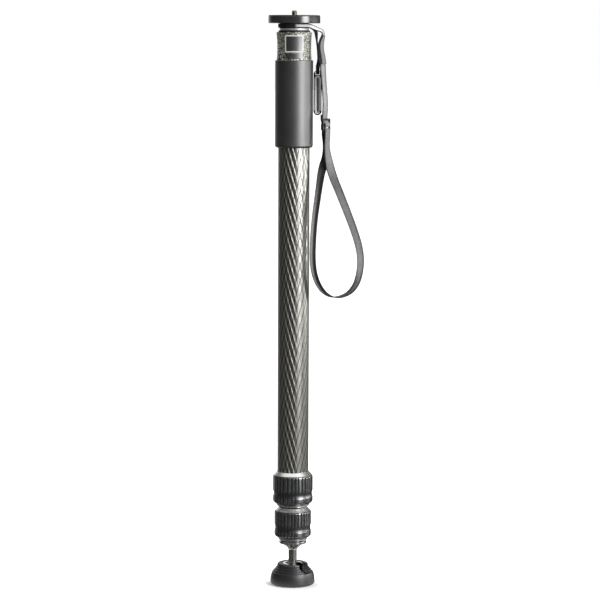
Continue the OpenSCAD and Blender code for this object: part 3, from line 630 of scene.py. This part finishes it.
# Twist locks: rubber sleeves with flutes, a waist, and a plain pad on the lower tier
FLUTES = 32
FLUTE_SHARES = (0, 0.12, 0.22, 0.26, 0.3, 0.34, 0.38, 0.42, 0.46, 0.5)
FLUTE_HALF = 0.27
FLUTE_DEPTH = 0.62
PAD_FROM = math.radians(-82)
PAD_TO = math.radians(-22)
PAD_TOP = 9
WAIST_Z = 12
WAIST_DEPTH = 0.9
TOP_ROUND = 1.1
LOWER_LOCK = {"z0": 56.41, "ring_r": 16.9, "inner_r": 19.4, "outer_r": 21.65, "length": 31.4}
UPPER_LOCK = {"z0": 97.01, "ring_r": 19.2, "inner_r": 21.7, "outer_r": 23.5, "length": 33.2}


def flute(share):
    """Depth of the flutes at a share of one pitch, 0.5 being the middle of a flute."""
    away = abs(share - 0.5) / FLUTE_HALF
    if away >= 1:
        return 0
    return FLUTE_DEPTH * (0.5 + 0.5 * math.cos(math.pi * away))


def lock_rubber(name, node, body, z0, ring_r, inner_r, outer_r, length):
    """Fluted rubber sleeve of one twist lock."""
    waist_r = outer_r - WAIST_DEPTH
    side = [
        (ring_r + 0.1, 0.05),
        (ring_r + 1, 0),
        (ring_r + 1.6, 0.25),
        (outer_r - 0.7, 2.1),
        (outer_r - 0.3, 2.6),
        (outer_r - 0.06, 3.2),
        (outer_r, 4),
        (outer_r, 6.8),
        (outer_r - 0.03, 7.5),
        (outer_r - 0.12, 8.2),
        (waist_r + 0.12, 10.5),
        (waist_r, 11.3),
        (waist_r, 12.7),
        (waist_r + 0.12, 13.5),
        (outer_r - 0.12, 15.8),
        (outer_r - 0.03, 16.5),
        (outer_r, 17.4),
        (outer_r, length - 2.2),
        (outer_r - 0.03, length - 1.3),
    ]
    for k in range(1, 6):
        a = math.radians(90 * k / 5)
        side.append((outer_r + TOP_ROUND * (math.cos(a) - 1), length + TOP_ROUND * (math.sin(a) - 1)))
    side += [(inner_r + 0.3, length), (inner_r, length - 0.3), (inner_r, inner_r - ring_r)]
    shares = list(FLUTE_SHARES) + [1 - s for s in reversed(FLUTE_SHARES[1:-1])]
    angles = []
    for i in range(FLUTES):
        angles += [((i + s) * TURN / FLUTES, flute(s)) for s in shares]
    verts = []
    for a, depth in angles:
        turned = a if a <= math.pi else a - TURN
        on_pad = PAD_FROM < turned < PAD_TO
        for k, (r, z) in enumerate(side):
            limit = outer_r - depth
            if on_pad and z < PAD_TOP:
                limit = outer_r
            if 1 < k < len(side) - 3:
                r = min(r, limit)
            verts.append((r * math.cos(a), r * math.sin(a), z0 + z))
    obj = make_object(name, verts, round_grid(len(angles), len(side)), 50)
    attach(obj, body)
    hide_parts(node)
    return obj


lower_rubber = lock_rubber("lower_rubber", "lower_lock_grip", "lower_collar", **LOWER_LOCK)
upper_rubber = lock_rubber("upper_rubber", "upper_lock_grip", "upper_collar", **UPPER_LOCK)

# Camera screw: a slotted quarter-inch thread on its shank
SCREW_R = 3.175
SCREW_ROOT = 2.5
SCREW_PITCH = 1.27
SHANK_R = 4.7625
SHANK_Z = 658.51
DECK_Z = 667.71
SCREW_TOP = 673.21
THREAD_TOP = 672.4
SLOT_W = 1.2
SLOT_DEPTH = 1.5


def screw_radius(z, a):
    """Radius of the thread at height z and angle a."""
    phase = (z - DECK_Z) / SCREW_PITCH - a / TURN
    away = abs(phase - math.floor(phase) - 0.5) * 2
    crest = min(max(1.25 - 1.5 * away, 0), 1)
    return SCREW_ROOT + (SCREW_R - SCREW_ROOT) * crest


def camera_thread():
    """Screw with its thread, chamfered top and screwdriver slot."""
    segments = 72
    rows = [(SHANK_Z, SHANK_R), (DECK_Z - 0.25, SHANK_R), (DECK_Z, SHANK_R - 0.25), (DECK_Z, 2.9)]
    step = 0.08
    heights = [DECK_Z + 0.1 + step * i for i in range(int((THREAD_TOP - DECK_Z) / step))]
    verts = []
    for z, r in rows:
        verts += circle(r, z, segments)
    for z in heights:
        for i in range(segments):
            a = TURN * i / segments
            r = screw_radius(z, a)
            verts.append((r * math.cos(a), r * math.sin(a), z))
    for z, r in ((SCREW_TOP - 0.5, SCREW_ROOT), (SCREW_TOP, SCREW_ROOT - 0.3)):
        verts += circle(r, z, segments)
    count = len(rows) + len(heights) + 2
    faces = bands(count, segments) + caps(count, segments)
    obj = make_object("screw_thread", verts, faces, 60)
    slot_z = SCREW_TOP - SLOT_DEPTH
    x = 9
    y = SLOT_W / 2
    box = []
    for z in (slot_z, SCREW_TOP + 2):
        box += [(-x, -y, z), (x, -y, z), (x, y, z), (-x, y, z)]
    return bored(obj, make_object("slot_cutter", box, bands(2, 4) + caps(2, 4)))


screw_thread = camera_thread()
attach(screw_thread, "upper_section")
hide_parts("camera_screw")


# Materials
class Paint:
    """A node material with one Principled shader."""

    def __init__(self, name, **values):
        self.material = bpy.data.materials.new(name)
        self.material.use_nodes = True
        self.tree = self.material.node_tree
        self.shader = self.tree.nodes["Principled BSDF"]
        self.set(self.shader, values)
        self.place = self.add("ShaderNodeTexCoord").outputs["Object"]

    def set(self, node, values):
        """Sets or links the node's inputs, by name with underscores for spaces, or by number."""
        for key, value in values.items():
            name = key.replace("_", " ").title() if isinstance(key, str) else key
            name = {"Ior": "IOR", "Specular Ior Level": "Specular IOR Level"}.get(name, name)
            socket = node.inputs[name]
            if isinstance(value, bpy.types.NodeSocket):
                self.tree.links.new(value, socket)
            elif socket.type == "RGBA":
                socket.default_value = (*value, 1)
            else:
                socket.default_value = value

    def add(self, kind, settings=None, inputs=None):
        """New node with its settings and inputs."""
        node = self.tree.nodes.new(kind)
        for key, value in (settings or {}).items():
            setattr(node, key, value)
        self.set(node, inputs or {})
        return node

    def math(self, operation, a, b=0.0, c=0.0):
        """Result of a Math node."""
        node = self.add("ShaderNodeMath", {"operation": operation}, {0: a, 1: b, 2: c})
        return node.outputs[0]

    def noise(self, scale, detail=3, roughness=0.55, vector=None):
        """Noise from 0 to 1, scale in waves per metre."""
        node = self.add(
            "ShaderNodeTexNoise",
            {},
            {"Vector": vector or self.place, "Scale": scale, "Detail": detail, "Roughness": roughness},
        )
        return node.outputs["Fac"]

    def ramp(self, fac, *stops):
        """Colour ramp with rows of place and colour."""
        node = self.add("ShaderNodeValToRGB", {}, {"Fac": fac})
        elements = node.color_ramp.elements
        while len(elements) < len(stops):
            elements.new(0.5)
        for element, (position, colour) in zip(elements, stops):
            element.position = position
            element.color = (*colour, 1)
        return node.outputs["Color"]

    def step(self, value, start, stop, low=0.0, high=1.0):
        """Smooth change from low to high as value goes from start to stop."""
        node = self.add(
            "ShaderNodeMapRange",
            {"interpolation_type": "SMOOTHSTEP"},
            {"Value": value, "From Min": start, "From Max": stop, "To Min": low, "To Max": high},
        )
        return node.outputs["Result"]

    def stripe(self, value, width, blur):
        """1 in the middle of each period of value, over this share of it, else 0."""
        away = self.math("ABSOLUTE", self.math("SUBTRACT", self.math("FRACT", value), 0.5))
        return self.step(away, (width + blur) / 2, (width - blur) / 2)

    def between(self, fac, low, high):
        """Value from low to high as fac goes from 0 to 1."""
        node = self.add("ShaderNodeMapRange", {}, {"Value": fac, "To Min": low, "To Max": high})
        return node.outputs["Result"]

    def bump(self, height, distance, strength=1.0):
        """Bump normal, its distance in metres."""
        inputs = {"Height": height, "Distance": distance, "Strength": strength}
        return self.add("ShaderNodeBump", {}, inputs).outputs["Normal"]

    def parts(self, vector=None):
        """X, Y and Z of a vector, or of the place on the object."""
        return self.add("ShaderNodeSeparateXYZ", {}, {"Vector": vector or self.place}).outputs

    def stretched(self, scale):
        """The place on the object, stretched for drawn-out noise."""
        return self.add("ShaderNodeMapping", {}, {"Vector": self.place, "Scale": scale}).outputs[0]

    def far(self, a, b):
        """Length of a vector with the parts a and b."""
        squares = [self.math("MULTIPLY", value, value) for value in (a, b)]
        return self.math("SQRT", self.math("ADD", *squares))

    def cylinder(self):
        """Angle round the pole from 0 to 1, and height in metres."""
        parts = self.parts()
        angle = self.math("ARCTAN2", parts["Y"], parts["X"])
        return self.math("MULTIPLY_ADD", angle, 1 / TURN, 0.5), parts["Z"]


def carbon_paint(name, columns, end_z):
    """Lacquered carbon braid: tilted yarn edges one way and matt grooves the other, on dark cells.

    The end of the tube up to end_z is black with no reflection, a painted shade for the recess it sits in
    under the lock.
    """
    paint = Paint(name, ior=2.8, specular_tint=(1, 0.99, 0.93))
    cell_h = 0.0088
    edge_tilt = math.radians(30)
    angle, height = paint.cylinder()
    a = paint.math("MULTIPLY", angle, float(columns))
    v = paint.math("DIVIDE", height, cell_h)
    p = paint.math("MULTIPLY", paint.math("ADD", a, v), 0.5)
    q = paint.math("MULTIPLY", paint.math("SUBTRACT", a, v), 0.5)
    first = paint.stripe(p, 0.22, 0.12)
    second = paint.stripe(q, 0.17, 0.1)
    grain = paint.noise(900, 2)
    # Painted shade: below end_z the tube is black and gives no reflection, as its end sits in the shaded
    # recess of the lock
    shown = paint.step(height, end_z * MM, (end_z + 0.5) * MM)
    edges = paint.math("MULTIPLY", first, shown)
    tone = paint.math("MULTIPLY_ADD", grain, 0.25, paint.math("MULTIPLY", edges, 0.75))
    colour = paint.ramp(tone, (0.1, (0.008, 0.0065, 0.003)), (0.9, (0.045, 0.042, 0.032)))
    axis = paint.add(
        "ShaderNodeVectorTransform",
        {"vector_type": "VECTOR", "convert_from": "OBJECT", "convert_to": "WORLD"},
        {"Vector": (0, 0, 1)},
    ).outputs[0]
    tilted = paint.add(
        "ShaderNodeVectorRotate",
        {},
        {
            "Vector": paint.add("ShaderNodeNewGeometry").outputs["Normal"],
            "Axis": axis,
            "Angle": paint.math("MULTIPLY", first, edge_tilt),
        },
    ).outputs[0]
    paint.set(
        paint.shader,
        {
            "Base_Color": colour,
            "Roughness": paint.between(first, 0.34, 0.5),
            "Specular_Ior_Level": paint.math("MULTIPLY", paint.between(second, 1.0, 0.1), shown),
            "Normal": tilted,
        },
    )
    return paint.material


def rubber_paint(name, colour, roughness, grain=1400, depth=0.000005, level=0.5, ior=1.5):
    """Moulded rubber or foam with a fine grain and uneven sheen."""
    paint = Paint(name, specular_ior_level=level, ior=ior)
    fine = paint.noise(grain, 4, 0.6)
    wide = paint.noise(60, 3)
    mixed = paint.math("MULTIPLY_ADD", fine, 0.45, paint.math("MULTIPLY", wide, 0.55))
    dark = tuple(c * 0.75 for c in colour)
    light = tuple(c * 1.3 for c in colour)
    paint.set(
        paint.shader,
        {
            "Base_Color": paint.ramp(mixed, (0.3, dark), (0.7, light)),
            "Roughness": paint.between(wide, roughness - 0.05, roughness + 0.05),
            "Normal": paint.bump(fine, depth),
        },
    )
    return paint.material


def lock_paint(name, outer_r, z0):
    """Lock rubber, polished on its ridges and matt in its flutes and at the bottom of its waist, where
    its reflection is also turned down as painted shade.
    """
    paint = Paint(name, ior=2.9)
    parts = paint.parts()
    from_waist = paint.math("ABSOLUTE", paint.math("SUBTRACT", parts["Z"], (z0 + WAIST_Z) * MM))
    lift = paint.step(from_waist, 0.7 * MM, 3.8 * MM, 0.55 * MM, 0)
    lifted = paint.math("ADD", paint.far(parts["X"], parts["Y"]), lift)
    ridge = paint.step(lifted, (outer_r - 0.45) * MM, (outer_r - 0.05) * MM)
    fine = paint.noise(1300, 4, 0.6)
    dark = (0.006, 0.0068, 0.008)
    light = (0.0104, 0.0117, 0.0136)
    paint.set(
        paint.shader,
        {
            "Base_Color": paint.ramp(fine, (0.3, dark), (0.7, light)),
            "Roughness": paint.between(ridge, 0.4, 0.26),
            # Painted shade: the flutes and the bottom of the waist reflect far less than the ridges
            "Specular_Ior_Level": paint.between(ridge, 0.12, 1.0),
            "Normal": paint.bump(fine, 0.000002),
        },
    )
    return paint.material


def metal_paint(name, colour, roughness, metallic=1.0):
    """Turned metal with fine lines and faint handling marks."""
    paint = Paint(name, metallic=metallic)
    lines = paint.noise(900, 3, 0.6, paint.stretched((1, 1, 40)))
    marks = paint.noise(130, 4)
    dark = tuple(c * 0.82 for c in colour)
    paint.set(
        paint.shader,
        {
            "Base_Color": paint.ramp(marks, (0.25, dark), (0.75, colour)),
            "Roughness": paint.between(lines, roughness * 0.75, roughness * 1.3),
            "Normal": paint.bump(lines, 0.000004),
        },
    )
    return paint.material


def casting_paint():
    """Hammered enamel: dimples with darker outlines."""
    paint = Paint("hammered_enamel", specular_ior_level=1.0, ior=1.8)
    cells = paint.add(
        "ShaderNodeTexVoronoi",
        {"feature": "DISTANCE_TO_EDGE"},
        {"Vector": paint.place, "Scale": 340, "Randomness": 0.95},
    ).outputs["Distance"]
    edge = paint.step(cells, 0.06, 0.24)
    tone = paint.math("MULTIPLY_ADD", paint.noise(220, 3), 0.3, paint.math("MULTIPLY", edge, 0.7))
    paint.set(
        paint.shader,
        {
            "Base_Color": paint.ramp(tone, (0.2, (0.008, 0.008, 0.006)), (0.72, (0.5, 0.5, 0.4))),
            "Roughness": paint.between(edge, 0.55, 0.35),
            "Normal": paint.bump(edge, 0.00022, 0.7),
        },
    )
    return paint.material


def webbing_paint():
    """Woven strap in the tone of its mesh, which holds painted light and shade: columns of warp with
    short floats, and darker selvedges.
    """
    paint = Paint("webbing", roughness=0.7)
    parts = paint.parts(paint.add("ShaderNodeUVMap", {"uv_map": "weave"}).outputs["UV"])
    across = paint.math("DIVIDE", parts["X"], 0.85)
    odd = paint.math("MULTIPLY", paint.math("FLOORED_MODULO", paint.math("FLOOR", across), 2.0), 0.5)
    down = paint.math("ADD", paint.math("DIVIDE", parts["Y"], 1.5), odd)
    ridge = paint.math("SINE", paint.math("MULTIPLY", paint.math("FRACT", across), math.pi))
    floats = paint.math("SINE", paint.math("MULTIPLY", paint.math("FRACT", down), math.pi))
    weave = paint.math("MULTIPLY", paint.math("POWER", ridge, 0.6), paint.math("POWER", floats, 0.5))
    worn = paint.noise(260, 4)
    grain = paint.math("MULTIPLY_ADD", worn, 0.5, paint.math("MULTIPLY", weave, 0.5))
    selvedge = paint.step(paint.math("ABSOLUTE", parts["X"]), 3.9, 4.7, 1, 0.25)
    # The tone attribute brings the strap's painted light and shade into its colour
    tone = paint.add("ShaderNodeAttribute", {"attribute_name": "tone"}).outputs["Fac"]
    edged = paint.math("MULTIPLY", tone, selvedge)
    level = paint.math("MULTIPLY", edged, paint.between(grain, 0.4, 1.4))
    colour = paint.ramp(level, (0, (0.006, 0.006, 0.007)), (1, (0.99, 0.985, 0.97)))
    paint.set(paint.shader, {"Base_Color": colour, "Normal": paint.bump(weave, 0.00004)})
    return paint.material


def gate_paint():
    """Gate leaf: black edge, pale rim and grey panel, by the distance from its middle line."""
    paint = Paint("gate_leaf")
    parts = paint.parts()
    middle = paint.add(
        "ShaderNodeClamp",
        {},
        {"Value": parts["Z"], "Min": (GATE_Z[0] + GATE_R) * MM, "Max": (GATE_Z[1] - GATE_R) * MM},
    ).outputs[0]
    drop = paint.math("SUBTRACT", parts["Z"], middle)
    wide = paint.math("SUBTRACT", parts["X"], GATE_X * MM)
    share = paint.math("DIVIDE", paint.far(drop, wide), GATE_R * MM)
    brushed = paint.noise(700, 3, 0.6, paint.stretched((40, 40, 1)))
    colour = paint.ramp(
        share,
        (0.2, (0.3, 0.3, 0.295)),
        (0.36, (0.4, 0.4, 0.39)),
        (0.44, (0.97, 0.97, 0.95)),
        (0.9, (0.97, 0.97, 0.95)),
        (0.96, (0.02, 0.02, 0.02)),
    )
    paint.set(paint.shader, {"Base_Color": colour, "Roughness": paint.between(brushed, 0.35, 0.6)})
    return paint.material


def lip_paint(name, colour, roughness, from_z):
    """Bright metal above a height, near black below it."""
    paint = Paint(name, metallic=1.0)
    bright = paint.step(paint.parts()["Z"], (from_z - 0.3) * MM, (from_z + 0.3) * MM)
    marks = paint.noise(400, 3)
    paint.set(
        paint.shader,
        {
            "Base_Color": paint.ramp(bright, (0, (0.01, 0.01, 0.01)), (1, colour)),
            "Roughness": paint.between(marks, roughness * 0.7, roughness * 1.4),
        },
    )
    return paint.material


def plate_paint(name, colour, roughness, level=0.5, ior=1.5):
    """Thin plate with a fine upright brush."""
    paint = Paint(name, specular_ior_level=level, ior=ior)
    lines = paint.noise(300, 3, 0.6, paint.stretched((30, 30, 1)))
    dark = tuple(c * 0.8 for c in colour)
    paint.set(
        paint.shader,
        {
            "Base_Color": paint.ramp(lines, (0.3, dark), (0.7, colour)),
            "Roughness": paint.between(lines, roughness * 0.8, roughness * 1.25),
        },
    )
    return paint.material


PAINTS = {
    "foot_rubber": rubber_paint(
        "foot_rubber_black", (0.01, 0.01, 0.0115), 0.45, 1100, 0.00001, 1.0, 1.53
    ),
    "socket_alloy": metal_paint("socket_black", (0.03, 0.03, 0.031), 0.35),
    "bright_ring": lip_paint("chrome", (0.86, 0.86, 0.85), 0.14, 23.7),
    "liner_plastic": rubber_paint("liner_white", (0.75, 0.73, 0.66), 0.4, 500, 0.000004),
    "stud_steel": metal_paint("stud_steel", (0.62, 0.62, 0.57), 0.24),
    "end_alloy": metal_paint("end_grey", (0.78, 0.78, 0.76), 0.2, metallic=0.9),
    "guide_plastic": rubber_paint("guide_white", (0.72, 0.71, 0.66), 0.45, 500, 0.000004),
    "lock_alloy": metal_paint("lock_silver", (0.9, 0.895, 0.88), 0.27, metallic=0.85),
    "seal_rubber": rubber_paint("seal_black", (0.01, 0.01, 0.01), 0.6),
    "grip_foam": rubber_paint(
        "grip_foam_black", (0.012, 0.011, 0.0115), 0.5, 2300, 0.000008, 1.0, 1.88
    ),
    "casting_paint": casting_paint(),
    "plate_metal": plate_paint("plate_silver", (0.92, 0.92, 0.9), 0.5),
    "panel_black": plate_paint("panel_black", (0.008, 0.008, 0.009), 0.46, 1.0, 2.0),
    "washer_black": rubber_paint("washer_black", (0.01, 0.01, 0.01), 0.5),
    "ring_alloy": metal_paint("ring_silver", (0.8, 0.79, 0.76), 0.42, metallic=0.5),
    "black_metal": metal_paint("neck_black", (0.04, 0.04, 0.041), 0.4),
    "bolt_steel": metal_paint("bolt_steel", (0.5, 0.5, 0.5), 0.3),
    "disc_metal": metal_paint("disc_black", (0.15, 0.148, 0.15), 0.26, metallic=0.75),
    "pad_rubber": rubber_paint("pad_black", (0.012, 0.012, 0.012), 0.55),
    "screw_steel": metal_paint("screw_brass", (0.36, 0.34, 0.24), 0.25),
    "webbing": webbing_paint(),
    "slider_plastic": rubber_paint("slider_black", (0.01, 0.01, 0.011), 0.4, 900, 0.000004),
    "hook_black": rubber_paint("hook_black", (0.008, 0.008, 0.009), 0.4, 900, 0.000004),
    "gate_metal": gate_paint(),
}
CARBON = {
    "upper_carbon": carbon_paint("carbon_upper", 44, 117),
    "middle_carbon": carbon_paint("carbon_middle", 38, 97.5),
    "lower_carbon": carbon_paint("carbon_lower", 32, 57),
}


def coat(obj, material):
    """Gives the object this material alone."""
    obj.data.materials.clear()
    obj.data.materials.append(material)


slot_of = {sub["node"]: sub["material_slot"] for sub in frame["record"]["subparts"]}
for node_name, obj in nodes.items():
    if not obj.hide_render:
        coat(obj, PAINTS[slot_of[node_name]])
for obj in (upper_carbon, middle_carbon, lower_carbon):
    coat(obj, CARBON[obj.name])
straps = [neck_webbing, fold_layer, neck_stitches, keeper_tab, wrist_webbing, wrist_stitches]
for obj in straps:
    coat(obj, PAINTS["webbing"])
coat(gate_leaf, PAINTS["gate_metal"])
coat(lower_rubber, lock_paint("lock_black_lower", LOWER_LOCK["outer_r"], LOWER_LOCK["z0"]))
coat(upper_rubber, lock_paint("lock_black_upper", UPPER_LOCK["outer_r"], UPPER_LOCK["z0"]))
coat(screw_thread, PAINTS["screw_steel"])


# Floor, background and light
def fade(tree, value, start, stop, low, high):
    """Smooth change from low to high as value goes from start to stop."""
    node = tree.nodes.new("ShaderNodeMapRange")
    node.interpolation_type = "SMOOTHSTEP"
    for name, number in (("From Min", start), ("From Max", stop), ("To Min", low), ("To Max", high)):
        node.inputs[name].default_value = number
    tree.links.new(value, node.inputs["Value"])
    return node.outputs["Result"]


def join(tree, operation, a, b):
    """Result of a Math node."""
    node = tree.nodes.new("ShaderNodeMath")
    node.operation = operation
    tree.links.new(a, node.inputs[0])
    tree.links.new(b, node.inputs[1])
    return node.outputs[0]


def switch(tree, fac, low, high):
    """low where fac is 0, high where it is 1."""
    node = tree.nodes.new("ShaderNodeMix")
    node.data_type = "FLOAT"
    for number, value in ((0, fac), (2, low), (3, high)):
        if isinstance(value, float):
            node.inputs[number].default_value = value
        else:
            tree.links.new(value, node.inputs[number])
    return node.outputs[0]


def vector_axes(tree, vector):
    """X, Y and Z of a vector."""
    node = tree.nodes.new("ShaderNodeSeparateXYZ")
    tree.links.new(vector, node.inputs[0])
    return node.outputs


def rays(tree):
    """Light path outputs, and 1 where a ray comes straight from the camera or through glass."""
    path = tree.nodes.new("ShaderNodeLightPath").outputs
    return path, join(tree, "MAXIMUM", path["Is Camera Ray"], path["Is Transmission Ray"])


# The world is white to the camera; reflections show a pale wall behind on the left and a pale ceiling,
# and a soft fill comes from the left
world = bpy.data.worlds.new("studio")
scene.world = world
world.use_nodes = True
tree = world.node_tree
background = tree.nodes["Background"]
axes = vector_axes(tree, tree.nodes.new("ShaderNodeTexCoord").outputs["Generated"])
behind = fade(tree, axes["Y"], 0.55, 1, 0.01, 1)
left = fade(tree, axes["X"], -0.05, 0.3, 1, 0.05)
overhead = fade(tree, axes["Z"], 0.62, 0.92, 0, 1)
studio = join(tree, "MAXIMUM", join(tree, "MULTIPLY", behind, left), overhead)
ambient = fade(tree, axes["X"], -0.8, -0.1, 1.35, 0.04)
path, direct = rays(tree)
strength = switch(tree, direct, switch(tree, path["Is Glossy Ray"], ambient, studio), 1.0)
tree.links.new(strength, background.inputs["Strength"])
background.inputs["Color"].default_value = (1, 1, 1, 1)

# The floor is white to the camera but dims round the foot as a painted shade, in which the cast shadow
# also shows;
# reflections show it pale behind on the left and near the foot
FLOOR_HALF = 30
SHADOW_AT = (0.001, -0.01, 0)
floor_mesh = bpy.data.meshes.new("floor")
corners = [(x * FLOOR_HALF, y * FLOOR_HALF, 0) for x, y in ((-1, -1), (1, -1), (1, 1), (-1, 1))]
floor_mesh.from_pydata(corners, [], [(0, 1, 2, 3)])
floor = bpy.data.objects.new("floor", floor_mesh)
scene.collection.objects.link(floor)
floor_material = bpy.data.materials.new("floor_white")
floor_material.use_nodes = True
tree = floor_material.node_tree
shader = tree.nodes["Principled BSDF"]
shader.inputs["Roughness"].default_value = 0.2
shader.inputs["Emission Color"].default_value = (1, 1, 1, 1)
place = tree.nodes.new("ShaderNodeTexCoord").outputs["Object"]
heading = tree.nodes.new("ShaderNodeVectorMath")
heading.operation = "NORMALIZE"
tree.links.new(place, heading.inputs[0])
axes = vector_axes(tree, heading.outputs[0])
distance = tree.nodes.new("ShaderNodeVectorMath")
distance.operation = "DISTANCE"
distance.inputs[1].default_value = SHADOW_AT
tree.links.new(place, distance.inputs[0])
from_foot = distance.outputs["Value"]
path, direct = rays(tree)
tree.links.new(fade(tree, direct, 0, 1, 0.03, 0.8), shader.inputs["Base Color"])
tree.links.new(fade(tree, direct, 0, 1, 0.1, 0), shader.inputs["Specular IOR Level"])
# Painted shade: the floor's glow is turned down round the foot, most towards its front
white = fade(tree, from_foot, 0.023, 0.047, 0.1, 1)
back = fade(tree, axes["Y"], 0.5, 1, 0.01, 0.8)
mirrored = join(tree, "MULTIPLY", back, fade(tree, axes["X"], -0.05, 0.3, 1, 0.1))
near = fade(tree, from_foot, 0.05, 0.1, 0.7, 0)
shown = join(tree, "MULTIPLY", direct, white)
reflected = join(tree, "MULTIPLY", path["Is Glossy Ray"], join(tree, "MAXIMUM", mirrored, near))
tree.links.new(join(tree, "ADD", shown, reflected), shader.inputs["Emission Strength"])
floor.data.materials.append(floor_material)


def softbox(name, azimuth, height, away, width, tall, power, aim):
    """Rectangular lamp that faces the pole at height aim, azimuth counted from the camera to the right.

    Its light stays level nearer to it, so that a pole tipped towards it isn't bleached.
    """
    data = bpy.data.lights.new(name, "AREA")
    data.use_nodes = True
    tree = data.node_tree
    falloff = tree.nodes.new("ShaderNodeLightFalloff")
    falloff.inputs["Strength"].default_value = 1 / (away**2 + (height - aim) ** 2)
    tree.links.new(falloff.outputs["Constant"], tree.nodes["Emission"].inputs["Strength"])
    data.shape = "RECTANGLE"
    data.size = width
    data.size_y = tall
    data.energy = power
    lamp = bpy.data.objects.new(name, data)
    scene.collection.objects.link(lamp)
    a = math.radians(azimuth)
    lamp.location = (away * math.sin(a), -away * math.cos(a), height)
    facing = Vector((0, 0, aim)) - lamp.location
    lamp.rotation_mode = "QUATERNION"
    lamp.rotation_quaternion = facing.to_track_quat("-Z", "Y")


softbox("key", 51, 0.9, 1.1, 0.56, 1.1, 16.5, 0.5)
softbox("side", 104, 0.41, 1.4, 1.0, 0.28, 6.5, 0.5)
softbox("low", 46, 0.16, 1.2, 0.5, 0.3, 1.0, 0.05)

scene.view_settings.view_transform = "Standard"
